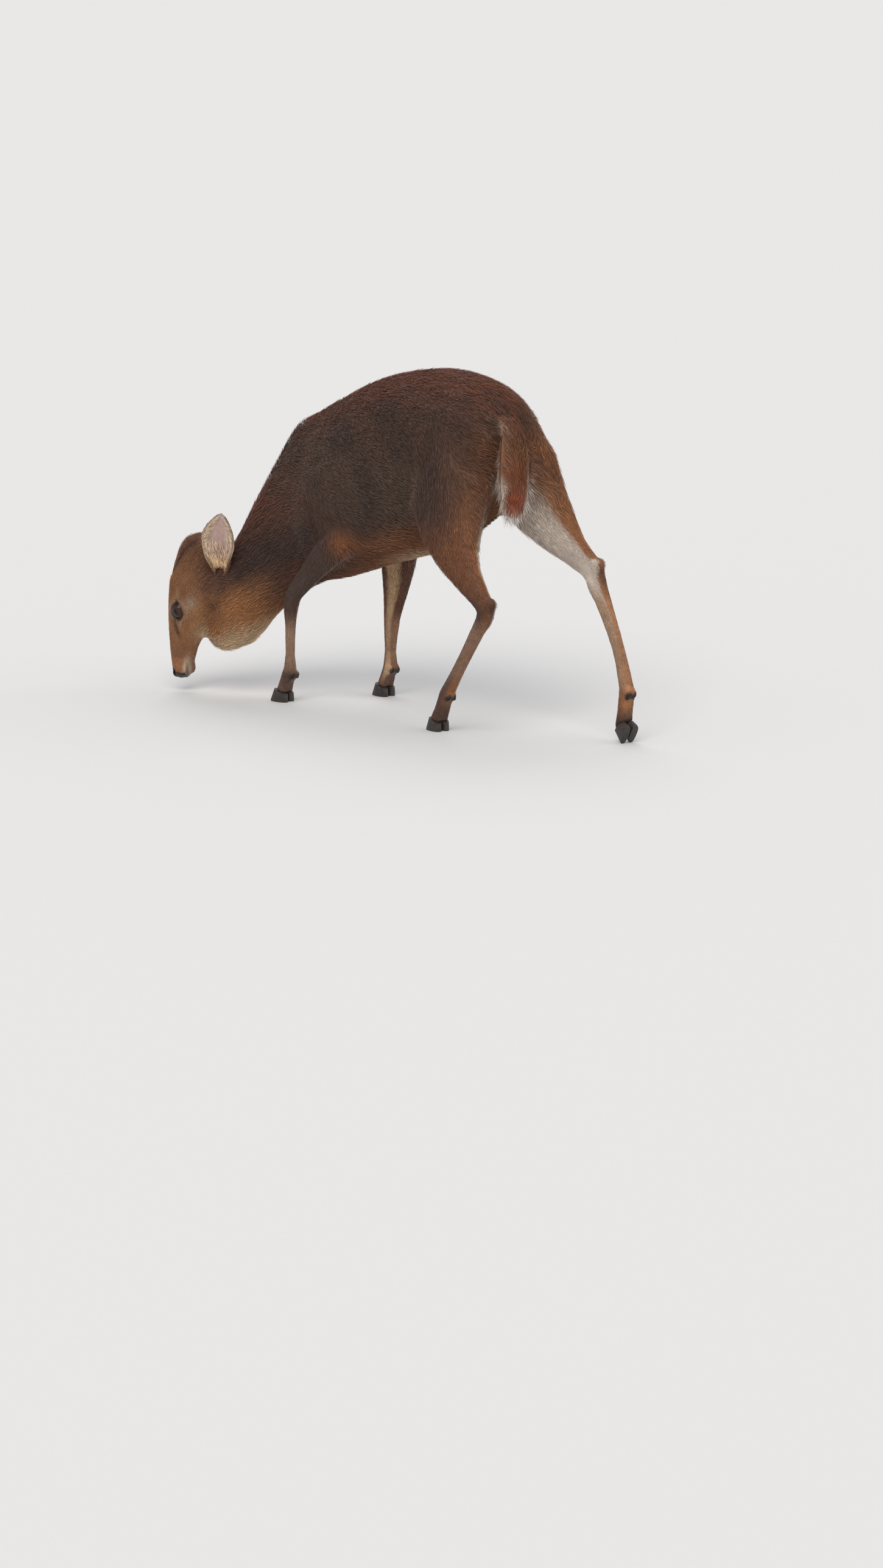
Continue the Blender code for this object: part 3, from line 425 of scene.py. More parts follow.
def markings(points, normals, share):
    """The colour of the hair at each place, in linear light."""
    x, y, z = points.T
    nx, ny, nz = normals.T
    uneven = drift(points, 0.05, 3)
    fine = drift(points, 0.018, 4)
    count = len(points)
    # Trunk
    trunk = np.tile(tint(86, 58, 44), (count, 1))
    trunk = wash(trunk, tint(114, 66, 45), ramp(nz, 0.30, 0.90))
    trunk = wash(trunk, tint(94, 76, 64), ramp(0.12 - np.abs(z - 0.275), 0, 0.07) * ramp(0.3 - x, 0.0, 0.1)
                 * 0.55)
    trunk = wash(trunk, tint(54, 40, 34), ramp(uneven, 0.1, 0.9) * 0.45)
    trunk = wash(trunk, tint(138, 88, 54), ramp(-x, 0.115, 0.165) * ramp(0.425 - z, 0, 0.05) * 0.85)
    trunk = wash(trunk, tint(150, 98, 62), ramp(-nz, 0.30, 0.70) * 0.85)
    trunk = wash(trunk, tint(196, 164, 132), ramp(-nz, 0.80, 0.98) * ramp(0.10 - x, 0, 0.06))
    fold = from_line(points,
                     np.array([(-0.020, 0.072, 0.268), (-0.040, 0.074, 0.305), (-0.052, 0.072, 0.345)]))[0]
    trunk = wash(trunk, tint(132, 102, 82), np.exp(-(fold / 0.0045) ** 2) * 0.7)
    # Neck and throat
    off = points - np.array([0.265, 0.066, 0.190])
    nape = off @ np.array([0.30, 0.25, 0.92])
    neck = np.tile(tint(96, 60, 44), (count, 1))
    neck = wash(neck, tint(108, 64, 46), ramp(nape, 0.035, 0.075))
    neck = wash(neck, tint(62, 43, 36), ramp(0.040 - np.abs(nape - 0.005), 0, 0.03) * ramp(0.30 - x, 0, 0.03)
                * 0.75)
    neck = wash(neck, tint(166, 112, 66), ramp(-nape, 0.005, 0.045) * ramp(x, 0.225, 0.270))
    neck = wash(neck, tint(222, 192, 154), ramp(-nz, 0.20, 0.75) * ramp(0.125 - z, 0.0, 0.045))
    # Head
    down, out, side = face_places(points)
    local = np.stack([down, out, side], 1)
    flat = np.abs(side)
    head = np.tile(tint(176, 120, 72), (count, 1))
    head = wash(head, tint(146, 96, 60), ramp(-out, 0.045, 0.085) * ramp(0.075 - down, 0, 0.05))
    head = wash(head, tint(190, 140, 88), ramp(0.028 - np.abs(down - 0.095), 0, 0.03) * ramp(-out, 0.03, 0.05)
                * 0.8)
    bridge = 0.0085 + 0.006 * ramp(down, 0.085, 0.060)
    head = wash(head, tint(88, 56, 42), ramp(bridge - flat, -0.004, 0.004) * ramp(out, -0.020, -0.008)
                * ramp(down, 0.07, 0.10))
    head = wash(head, tint(134, 90, 60), ramp(down, 0.115, 0.150) * 0.8)
    line = np.abs(flat - (0.0060 + 0.20 * np.clip(0.092 - down, 0, 0.08)))
    head = wash(head, tint(46, 31, 26), np.exp(-(line / 0.0026) ** 2) * ramp(0.094 - down, 0, 0.01)
                * (out > -0.045) * 0.9)
    head = wash(head, tint(126, 76, 46),
                ramp(0.0050 + 0.20 * np.clip(0.09 - down, 0, 0.08) - flat, 0.0, 0.004)
                * ramp(0.094 - down, 0, 0.02) * (out > -0.06) * 0.6)
    for turn in (1, -1):
        middle, _, along, across = eye_frame(turn)
        reach = points - middle
        a, b, near = reach @ along, reach @ across, np.linalg.norm(reach, axis=1)
        edge = lid_edge(a, b)
        mine = (side * turn > 0) * ramp(0.034 - near, 0, 0.008)
        head = wash(head, tint(206, 172, 140), mine * ramp(edge, 1.25, 1.6) * ramp(2.7 - edge, 0, 0.8) * 0.6)
        spot = np.linalg.norm((local - [0.082, -0.040, turn * 0.030]) * [0.8, 1, 0.6], axis=1)
        head = wash(head, tint(214, 188, 164), (side * turn > 0) * np.exp(-(spot / 0.0075) ** 2) * 0.8)
        head = wash(head, tint(30, 22, 20), mine * ramp(1.45 - edge, 0, 0.30))
        slit = [(0.1040, -0.0150, turn * 0.0300), (0.113, -0.0165, turn * 0.0270),
                (0.1250, -0.0195, turn * 0.0235)]
        gap = from_line(local * [1, 1, 0.5], np.array(slit) * [1, 1, 0.5])[0]
        head = wash(head, tint(44, 30, 26), (side * turn > 0.008) * np.exp(-(gap / 0.0026) ** 2) * 0.9)
    head = wash(head, tint(222, 196, 164), ramp(-out, 0.034, 0.046) * ramp(down, 0.105, 0.135)
                * ramp(out, -0.056, -0.048))
    lips = from_line(local * [1, 1, 0.5], np.array([(d, o, s * MUZZLE_HALF) for d, o, s in MOUTH])
                     * [1, 1, 0.5])[0]
    lips = np.minimum(lips,
                      from_line(local * [1, 1, 0.5], np.array([(d, o, -s * MUZZLE_HALF) for d, o, s in MOUTH])
                                      * [1, 1, 0.5])[0])
    head = wash(head, tint(226, 204, 176), np.exp(-((lips - 0.003) / 0.003) ** 2) * ramp(down, 0.145, 0.165)
                * 0.7)
    head = wash(head, tint(60, 42, 36), np.exp(-(lips / 0.0013) ** 2) * ramp(down, 0.132, 0.142))
    head = wash(head, tint(26, 21, 21), ramp(nose_pad(local), -0.2, 0.3))
    # Painted shadow behind the cheek, where the jaw meets the neck, laid on the head and the neck alike; the
    # pale throat below it comes with the neck
    cheek = from_line(local * [1, 1, 0.3],
                      np.array([(0.060, -0.080, 0), (0.090, -0.072, 0), (0.118, -0.056, 0)]))[0]
    both = share["face"] + share["muzzle"] + share["neck"]
    brown = np.exp(-(cheek / 0.011) ** 2) * 0.55 * (down > 0.03)
    head, neck = wash(head, tint(100, 64, 44), brown), wash(neck, tint(100, 64, 44), brown * both)
    # Legs, pale on the inner side
    inward = 0.643 * nx + 0.766 * ny

    def leg(front, rear, inner, foot, hoof, pale):
        colour = np.tile(front, (count, 1))
        colour = wash(colour, rear, ramp(-nx, -0.1, 0.7))
        colour = wash(colour, inner, pale)
        return wash(colour, foot, ramp(hoof - z, 0, 0.03))

    low = ramp(0.13 - z, 0, 0.04)
    # The left foreleg is a darker brown than the right one: painted shade on the left foreleg
    fore_left = leg(tint(84, 58, 46), tint(82, 56, 44), tint(196, 164, 134), tint(104, 74, 58), 0.045,
                    ramp(-ny, 0.15, 0.65))
    fore_left = wash(fore_left, tint(160, 126, 102), low * ramp(z, 0.035, 0.06) * 0.8)
    stripe = ramp(ny, 0.30, 0.60) * ramp(-nx, -0.25, 0.20) * ramp(0.75 + nx, 0.0, 0.3)
    fore_right = leg(tint(116, 70, 44), tint(110, 66, 42), tint(214, 178, 138), tint(104, 72, 54), 0.045,
                     stripe)
    fore_right = wash(fore_right, tint(170, 130, 102), low * ramp(z, 0.035, 0.06) * 0.6)
    elbow = np.exp(-(np.linalg.norm((points - np.array([0.098, 0.072, 0.228])) * [1, 0.6, 1], axis=1)
                     / 0.017) ** 2)
    fore_left = wash(fore_left, tint(158, 98, 56), elbow)
    trunk = wash(trunk, tint(158, 98, 56), elbow)
    hind_left = leg(tint(88, 62, 50), tint(152, 96, 56), tint(214, 196, 178), tint(88, 60, 46), 0.055,
                    ramp(-ny, 0.15, 0.65))
    thigh = ramp(z, 0.24, 0.30)
    hind_left = wash(hind_left, tint(78, 56, 46), thigh * ramp(x, -0.130, -0.070) * ramp(ny, 0.0, 0.5) * 0.9)
    hind_left = wash(hind_left, tint(134, 84, 52), (1 - thigh) * ramp(z, 0.17, 0.20) * ramp(ny, 0, 0.6) * 0.9)
    hind_left = wash(hind_left, tint(158, 122, 96), ramp(0.17 - z, 0, 0.03) * ramp(z, 0.06, 0.09) * 0.7)
    hind_left = wash(hind_left, tint(70, 46, 36), np.exp(-((z - 0.178) / 0.016) ** 2) * ramp(-nx, 0, 0.6)
                     * 0.7)
    paler = (ramp(inward, -0.10 + 0.32 * ramp(z, 0.17, 0.33), 0.30 + 0.32 * ramp(z, 0.17, 0.33))
             * ramp(z, 0.10, 0.21))
    hind_right = leg(tint(138, 92, 62), tint(168, 110, 66), tint(218, 202, 188), tint(66, 48, 40), 0.055,
                     paler)
    hind_right = wash(hind_right, tint(176, 142, 114), ramp(0.21 - z, 0, 0.04) * ramp(z, 0.06, 0.09)
                      * (0.35 + 0.5 * paler + 0.3 * ramp(inward, -0.1, 0.4)))
    hind_right = wash(hind_right, tint(110, 72, 52), np.exp(-((z - 0.215) / 0.020) ** 2) * ramp(-nx, 0.2, 0.8)
                      * 0.7)
    # Tail, red above and white below and at its edges
    middle = 0.013 + 0.012 * ramp(0.412 - z, 0, 0.05)
    half = np.interp(z, [0.287, 0.303, 0.326, 0.358, 0.386, 0.404],
                     [0.011, 0.022, 0.028, 0.030, 0.026, 0.021])
    tail = np.tile(tint(150, 84, 50), (count, 1))
    tail = wash(tail, tint(122, 74, 48), ramp(z, 0.375, 0.41))
    tail = wash(tail, tint(164, 82, 50), ramp(0.345 - z, 0, 0.03) * 0.7)
    rim = np.abs(y - middle) / half + 0.18 * ramp(y - middle, 0, 0.01)
    tail = wash(tail, tint(232, 220, 204), ramp(rim, 0.66, 0.86) * ramp(0.352 - z, 0, 0.02))
    tail = wash(tail, tint(234, 224, 210), ramp(0.306 - z, 0, 0.010))
    tail = wash(tail, tint(214, 186, 148), ramp(rim, 0.85, 1.0) * ramp(z, 0.372, 0.385) * 0.8)
    tail = wash(tail, tint(234, 226, 216), ramp(nx, -0.1, 0.35))
    colours = (share["trunk"][:, None] * trunk + share["neck"][:, None] * neck + share["tail"][:, None] * tail
               + (share["face"] + share["muzzle"])[:, None] * head + share["fore_left"][:, None] * fore_left
               + share["fore_right"][:, None] * fore_right + share["hind_left"][:, None] * hind_left
               + share["hind_right"][:, None] * hind_right)
    # Below the tail and between the thighs the hair is white
    seat = (ramp(-x, 0.13, 0.16) * ramp(0.022 - np.abs(y - 0.012), 0, 0.014) * ramp(0.350 - z, 0, 0.03)
            * (z > 0.25))
    colours = wash(colours, tint(216, 202, 188), seat * (1 - share["tail"]))
    for claw in DEW_CLAWS:
        colours = wash(colours, tint(34, 27, 24),
                       ramp(0.0078 - np.linalg.norm(points - claw, axis=1), 0, 0.0016))
    return colours * (1 + 0.10 * fine + 0.08 * uneven)[:, None]


class Sock:
    """A shader socket with the operators of arithmetic, each of which adds one Math node."""

    def __init__(self, tree, socket):
        self.tree, self.socket = tree, socket

    def node(self, kind, settings=None, **sockets):
        """Adds a node of this kind with its settings and the values or links of its inputs; gives its first
        output in use."""
        made = self.tree.nodes.new(kind)
        for key, value in (settings or {}).items():
            setattr(made, key, value)
        for key, value in sockets.items():
            name = key.replace("_", " ")
            place = made.inputs[int(name[1:])] if name[0] == "n" and name[1:].isdigit() else made.inputs[name]
            if isinstance(value, Sock):
                self.tree.links.new(value.socket, place)
            else:
                place.default_value = value
        return Sock(self.tree, next(output for output in made.outputs if output.enabled))

    def _math(self, operation, *values):
        return self.node("ShaderNodeMath", {"operation": operation},
                         **{f"n{i}": v for i, v in enumerate(values)})

    def __add__(self, other):
        return self._math("ADD", self, other)

    def __sub__(self, other):
        return self._math("SUBTRACT", self, other)

    def __mul__(self, other):
        return self._math("MULTIPLY", self, other)

    def __truediv__(self, other):
        return self._math("DIVIDE", self, other)

    def __radd__(self, other):
        return self._math("ADD", other, self)

    def __rsub__(self, other):
        return self._math("SUBTRACT", other, self)

    def __rmul__(self, other):
        return self._math("MULTIPLY", other, self)

    def __rtruediv__(self, other):
        return self._math("DIVIDE", other, self)

    def clamp(self):
        return self._math("MINIMUM", self._math("MAXIMUM", self, 0.0), 1.0)


def new_material(name, roughness, **constants):
    """A material, its shader and the sockets of its Object coordinates, with constants set on the shader
    itself."""
    material = bpy.data.materials.new(name)
    material.use_nodes = True
    shader = material.node_tree.nodes["Principled BSDF"]
    shader.inputs["Roughness"].default_value = roughness
    for key, value in constants.items():
        shader.inputs[key.replace("_", " ")].default_value = value
    place = Sock(material.node_tree, None).node("ShaderNodeTexCoord")
    place.socket = place.socket.node.outputs["Object"]
    return material, shader, place


def feed(shader, name, sock):
    sock.tree.links.new(sock.socket, shader.inputs[name])


def hair_material(name, roughness):
    """Reads the hair's own colour and breaks it up a little; its bump is fine grain."""
    material, shader, place = new_material(name, roughness, Specular_IOR_Level=0.28, Sheen_Weight=0.12,
                                           Sheen_Roughness=0.5)
    colour = place.node("ShaderNodeAttribute", {"attribute_name": "hair"})
    speckle = place.node("ShaderNodeTexNoise", Vector=place, Scale=420.0, Detail=2.0)
    shade = place.node("ShaderNodeMapRange", Value=speckle, To_Min=0.84, To_Max=1.14)
    mixed = place.node("ShaderNodeVectorMath", {"operation": "SCALE"}, n0=colour, Scale=shade)
    feed(shader, "Base Color", mixed)
    wet = place.node("ShaderNodeAttribute", {"attribute_name": "bare"})
    wet.socket = wet.socket.node.outputs["Fac"]
    feed(shader, "Roughness", roughness - wet * 0.38)
    grain = place.node("ShaderNodeBump", Height=speckle, Strength=0.25, Distance=0.0006)
    feed(shader, "Normal", grain)
    return material


def colour_hair(obj, colours):
    """Gives each point its hair colour."""
    layer = obj.data.color_attributes.new("hair", "FLOAT_COLOR", "POINT")
    layer.data.foreach_set("color",
                           np.column_stack([np.clip(colours, 0, 1),
                                            np.ones(len(colours))]).astype(np.float32).ravel())


def unwrap(obj):
    """Cuts the surface's own shape into flat charts, in a map named OFBake."""
    obj.data.uv_layers.new(name="OFBake")
    bpy.ops.object.select_all(action="DESELECT")
    obj.select_set(True)
    bpy.context.view_layer.objects.active = obj
    bpy.ops.object.mode_set(mode="EDIT")
    bpy.ops.mesh.select_all(action="SELECT")
    bpy.ops.uv.smart_project(angle_limit=math.radians(66), island_margin=0.002)
    bpy.ops.object.mode_set(mode="OBJECT")


skin_places, skin_normals = places_of(skin), normals_of(skin)
skin_share = coat_at(skin_places)[4]
# The skin takes the hair's colours darkened to 0.72: painted shade deep in the coat, between the locks
colour_hair(skin, markings(skin_places, skin_normals, skin_share) * 0.72)
pad = ramp(nose_pad(np.stack(face_places(skin_places), 1)), -0.2, 0.3)
skin.data.attributes.new("bare", "FLOAT", "POINT").data.foreach_set("value", pad.astype(np.float32))
skin.data.materials.append(hair_material("short_coat", 0.72))
unwrap(skin)
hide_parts(*FLESH)
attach(skin, "root")


# The coat over the skin. Locks of winter hair, each a thin closed blade with a ridge, rooted in the skin and
# laid back along the body, long on the trunk, the rump and the tail and very short on the face and the feet.
COVER = {"muzzle": 3.0, "face": 4.4, "neck": 7.4, "trunk": 7.4, "fore_left": 4.2, "fore_right": 4.2,
         "hind_left": 4.6, "hind_right": 4.6, "tail": 8.5}
MOST_LOCKS, LOCKS_IN_A_PIECE = 232000, 33000


def coat_roots(seed):
    """Random places on the skin, closer where the locks are small: points, normals and places on its
    unwrap."""
    chance = np.random.default_rng(seed)
    points, faces = corners_of(skin)
    points = points + MIDDLE
    corners = points[faces]
    cross = np.cross(corners[:, 1] - corners[:, 0], corners[:, 2] - corners[:, 0])
    area = np.linalg.norm(cross, axis=1) / 2
    middle = corners.mean(1)
    _, length, width, _, share = coat_at(middle)
    cover = sum(share[part] * COVER[part] for part in PARTS)
    bare = np.zeros(len(middle))
    down, out, side = face_places(middle)
    local = np.stack([down, out, side], 1)
    bare = np.maximum(bare, ramp(nose_pad(local), -0.4, 0.2))
    for claw in DEW_CLAWS:
        bare = np.maximum(bare, np.linalg.norm(middle - claw, axis=1) < 0.0065)
    for turn in (1, -1):
        off = middle - eye_frame(turn)[0]
        edge = lid_edge(off @ eye_frame(turn)[2], off @ eye_frame(turn)[3])
        bare = np.maximum(bare, (np.linalg.norm(off, axis=1) < 0.02) * (off @ eye_frame(turn)[1] > 0)
                          * (edge < 1.3))
    wanted = area * cover * (1 - bare) / (length * width * 0.55)
    reach = np.cumsum(wanted)
    count = min(int(reach[-1]), MOST_LOCKS)
    steps = (np.arange(count) + chance.uniform(0, 1, count)) * reach[-1] / count
    pick = np.searchsorted(reach, steps).clip(0, len(reach) - 1)
    a, b = chance.uniform(0, 1, count), chance.uniform(0, 1, count)
    a, b = np.where(a + b > 1, 1 - a, a), np.where(a + b > 1, 1 - b, b)
    shares = np.stack([1 - a - b, a, b], 1)[..., None]
    normals = normals_of(skin)[faces[pick]]
    roots = (corners[pick] * shares).sum(1)
    normal = (normals * shares).sum(1)
    flat = np.empty(len(skin.data.loops) * 2, np.float32)
    skin.data.uv_layers["OFBake"].data.foreach_get("uv", flat)
    loops = np.empty(len(faces) * 3, np.int32)
    skin.data.loop_triangles.foreach_get("loops", loops)
    charts = (flat.reshape(-1, 2)[loops.reshape(-1, 3)[pick]] * shares).sum(1)
    return roots, normal / np.linalg.norm(normal, axis=1)[:, None], charts


def unit(rows):
    return rows / np.maximum(np.linalg.norm(rows, axis=1), 1e-9)[:, None]


def locks(roots, normals, ways, length, width, rise, colours, charts, seed, droop=0.30):
    """Closed blades: a root, three corners round the thickest place and a tip, along a line that rises.

    A place at the share t of the length is root + way * length * t, lifted by rise * t and by a hump of
    droop * 4 * t * (1 - t), and swept sideways by curl * t squared. Returns points, triangles, colours and
    the place of each point on the unwrap.
    """
    chance = np.random.default_rng(seed)
    count = len(roots)
    ways = unit(ways - normals * (ways * normals).sum(1)[:, None])
    across = np.cross(normals, ways)
    curl = chance.normal(0, 0.05, count) * length

    def place(t):
        lift = -0.0003 + rise * (t + droop * 4 * t * (1 - t))
        return roots + ways * (length * t)[:, None] + normals * lift[:, None] + across * (curl * t
                                                                                          * t)[:, None]

    thick = chance.uniform(0.30, 0.45, count)
    half = (width / 2)[:, None]
    line = place(thick)
    points = np.stack([place(np.zeros(count)), line - across * half, line + across * half,
                       line + normals * half * 0.6, place(np.ones(count))], 1)
    faces = (np.arange(count) * 5)[:, None, None] + LOCK_FACES
    tone = chance.normal(1, 0.15, count).clip(0.55, 1.6)
    # Each lock darkens to 0.62 at its root and pales to 1.22 at its tip, partly the hair's own banding and
    # partly painted shade deep in the coat; its ridge is a little paler than its two edges
    painted = colours[:, None] * (tone[:, None] * np.array([0.62, 0.92, 0.92, 1.02, 1.22]))[..., None]
    patch = np.array([(0, -1), (-1, 0), (1, 0), (0, 0), (0, 1)]) * 0.0014
    return points.reshape(-1, 3), faces.reshape(-1, 3), painted.reshape(-1, 3), (charts[:, None]
                                                                                 + patch).reshape(-1, 2)


LOCK_FACES = np.array([(0, 2, 1), (0, 1, 3), (0, 3, 2), (4, 1, 2), (4, 3, 1), (4, 2, 3)])


def lock_piece(name, points, faces, colours, charts, material):
    """One mesh of locks with its colours and its map."""
    obj = new_piece(name, points - MIDDLE, faces)
    colour_hair(obj, colours)
    layer = obj.data.uv_layers.new(name="OFBake")
    layer.data.foreach_set("uv", charts[np.asarray(faces).ravel()].astype(np.float32).ravel())
    obj.data.materials.append(material)
    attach(obj, "root")
    return obj


def lie_of(points, normals, way, share, seed):
    """The way a lock lies: back along its part, down the sides of the trunk, and a little astray."""
    chance = np.random.default_rng(seed)
    way = way + np.array([0, 0, -1.0]) * (0.45 * share["trunk"] + 0.25 * share["neck"])[:, None]
    side = np.cross(normals, way)
    turn = (0.22 * drift(points, 0.035, 8) + 0.12 * drift(points, 0.012, 9)
            + chance.normal(0, 0.10, len(points)))
    fan = share["tail"] * 14 * (points[:, 1] - 0.024)
    return way + side * turn[:, None] + np.array([0, 1.0, 0]) * fan[:, None]


def dress():
    """Covers the skin and gives the pieces of the coat."""
    roots, normals, charts = coat_roots(11)
    way, length, width, depth, share = coat_at(roots)
    chance = np.random.default_rng(12)
    way = lie_of(roots, normals, way, share, 13)
    length = length * chance.normal(1, 0.16, len(roots)).clip(0.6, 1.5)
    elbow = np.exp(-(np.linalg.norm(roots - [0.098, 0.070, 0.226], axis=1) / 0.020) ** 2)
    flank = np.exp(-(from_line(roots, np.array([(-0.030, 0.070, 0.270), (0.030, 0.066, 0.238)]))[0]
                     / 0.014) ** 2)
    seat = (ramp(-roots[:, 0], 0.150, 0.175) * ramp(0.40 - roots[:, 2], 0, 0.03)
            * ramp(roots[:, 2], 0.26, 0.30))
    length = length * (1 + 0.45 * elbow + 0.35 * flank + 0.30 * seat * (1 - share["tail"]))
    width = width * 0.82 * chance.normal(1, 0.15, len(roots)).clip(0.6, 1.5)
    rise = depth * chance.normal(0.62, 0.20, len(roots)).clip(0.15, 1.1)
    colours = markings(roots, normals, share)
    material = hair_material("coat_hair", 0.62)
    points, _, painted, places = locks(roots, normals, way, length, width, rise, colours, charts, 14)
    count = len(roots)
    pieces = -(-count // LOCKS_IN_A_PIECE)
    points, painted, places = (part.reshape(count, 5, -1) for part in (points, painted, places))
    for i in range(pieces):
        mine = slice(i, None, pieces)
        some = len(points[mine])
        piece_faces = ((np.arange(some) * 5)[:, None, None] + LOCK_FACES).reshape(-1, 3)
        lock_piece(f"coat_{i + 1}", points[mine].reshape(-1, 3), piece_faces,
                   painted[mine].reshape(-1, 3), places[mine].reshape(-1, 2), material)


dress()


# The ears. Thin gristle in skin, a leaf-shaped cup drawn in to a tube at its root, brown outside and pale
# grey-pink inside, with cream hair at its base and fine hairs in from its edges.
EAR_LENGTH, EAR_WIDTH, EAR_THICK = 0.086, 0.0225, 0.0016


def ear_axes(turn):
    """Along the ear and out of its cup; the left ear stands up and the right one is turned back."""
    along = -NOSEWARD * 0.95 + HEAD_LEFT * 0.30 - FOREHEAD * 0.06
    if turn < 0:
        along = -NOSEWARD * 0.70 - HEAD_LEFT * 0.50 - FOREHEAD * 0.50
    opening = HEAD_LEFT * turn * 0.96 + FOREHEAD * 0.12 + NOSEWARD * 0.28
    along = along / np.linalg.norm(along)
    opening = opening - along * (opening @ along)
    return along, opening / np.linalg.norm(opening)


def ear_surface(turn, u, v):
    """A place on the cup, u along it and v from edge to edge round its bent back.

    Its half width is EAR_WIDTH * sin(pi u^1.5)^0.75 with a stem added at the root; the section is an arc
    whose angle closes from 150 degrees at the root to 55 in the upper half, and its edge waves a little.
    """
    along, opening = ear_axes(turn)
    wide = np.cross(along, opening)
    half = EAR_WIDTH * np.sin(math.pi * u ** 1.5) ** 0.75 + 0.0095 * (1 - u) ** 2
    open_angle = np.radians(150 - 95 * np.minimum(u / 0.5, 1) ** 0.8)
    radius = half / np.sin(np.minimum(open_angle, math.pi / 2))
    swing = v * open_angle
    back = -0.009 + 0.006 * np.sin(math.pi * u)
    wave = 0.0007 * np.sin(17 * u + 2 * turn) * v ** 4 + 0.0004 * np.sin(9 * v) * np.sin(math.pi * u)
    root = on_head(0.038, -0.082, turn * 0.029)
    places = root + along * (EAR_LENGTH * u * np.cos(0.12 * swing))[..., None]
    places = places + wide * (radius * np.sin(swing))[..., None]
    return places + opening * (back + wave + radius * (1 - np.cos(swing)) * 0.8)[..., None]


def ear_cup(name, turn):
    """The cup as a closed wall: the surface moved half its thickness to each side along its own normal."""
    u, v = np.meshgrid(0.998 * np.linspace(0, 1, 72) ** 0.85, np.linspace(-1, 1, 49), indexing="ij")
    middle = ear_surface(turn, u, v)
    step = 1e-4
    du = ear_surface(turn, np.minimum(u + step, 0.9985), v) - ear_surface(turn, np.maximum(u - step, 0), v)
    dv = ear_surface(turn, u, v + step) - ear_surface(turn, u, v - step)
    normal = np.cross(du, dv)
    normal /= np.maximum(np.linalg.norm(normal, axis=2), 1e-12)[..., None]
    if (normal[30, 24] @ ear_axes(turn)[1]) < 0:
        normal = -normal
    wall = (EAR_THICK / 2 * (1 - 0.55 * np.abs(v) ** 3) * (1.25 - 0.5 * u))[..., None]
    ring = np.concatenate([middle + normal * wall, (middle - normal * wall)[:, ::-1]], 1)
    rows, across = ring.shape[:2]
    number = np.arange(rows * across).reshape(rows, across)
    after = np.roll(number, -1, 1)
    faces = np.stack([number[:-1], after[:-1], after[1:], number[1:]], -1).reshape(-1, 4)
    half_way = across // 2
    ends = [np.stack([number[row, :half_way - 1], number[row, 1:half_way], number[row, half_way:][::-1][1:],
                      number[row, half_way:][::-1][:-1]], -1) for row in (0, -1)]
    faces = np.concatenate([faces, ends[0][:, ::-1], ends[1]])
    obj = new_piece(name, ring.reshape(-1, 3) - MIDDLE, faces if turn < 0 else faces[:, ::-1])
    inner = np.concatenate([np.ones_like(v), np.zeros_like(v)], 1).reshape(-1)
    flat_u, flat_v = (np.concatenate([grid, grid[:, ::-1]], 1).reshape(-1) for grid in (u, v))
    colours = ear_colours(flat_u, flat_v, inner, ring.reshape(-1, 3))
    colour_hair(obj, colours)
    layer = obj.data.uv_layers.new(name="OFBake")
    loops = np.empty(len(obj.data.loops), np.int32)
    obj.data.loops.foreach_get("vertex_index", loops)
    chart = np.stack([0.02 + 0.30 * (flat_v + 1) / 2 + 0.34 * inner, 0.02 + 0.9 * flat_u], 1)
    layer.data.foreach_set("uv", chart[loops].astype(np.float32).ravel())
    return obj


def ear_colours(u, v, inner, points):
    """Pale grey-pink inside with cream at the base and the edges, brown outside with a dark rim."""
    fine = drift(points, 0.012, 21)
    inside = np.tile(tint(186, 162, 154), (len(u), 1))
    inside = wash(inside, tint(150, 118, 108), np.exp(-(v / 0.35) ** 2) * ramp(u, 0.2, 0.5) * 0.45)
    for rib in (-0.45, -0.15, 0.15, 0.45):
        inside = wash(inside, tint(158, 122, 112), np.exp(-((v - rib * (1 + 0.2 * u)) / 0.035) ** 2)
                      * ramp(u, 0.15, 0.4)
                      * ramp(0.95 - u, 0, 0.3) * 0.35)
    inside = wash(inside, tint(224, 196, 162), ramp(np.abs(v), 0.62, 0.95) * 0.7)
    inside = wash(inside, tint(224, 178, 126), ramp(0.30 - u, 0, 0.16))
    outside = np.tile(tint(112, 74, 54), (len(u), 1))
    outside = wash(outside, tint(140, 92, 62), ramp(0.35 - u, 0, 0.3))
    outside = wash(outside, tint(78, 54, 44), ramp(u, 0.7, 0.95) * 0.7)
    colours = outside + (inside - outside) * inner[:, None]
    colours = wash(colours, tint(80, 54, 44), ramp(np.abs(v), 0.955, 0.99) * 0.8)
    return colours * (1 + 0.06 * fine)[:, None]


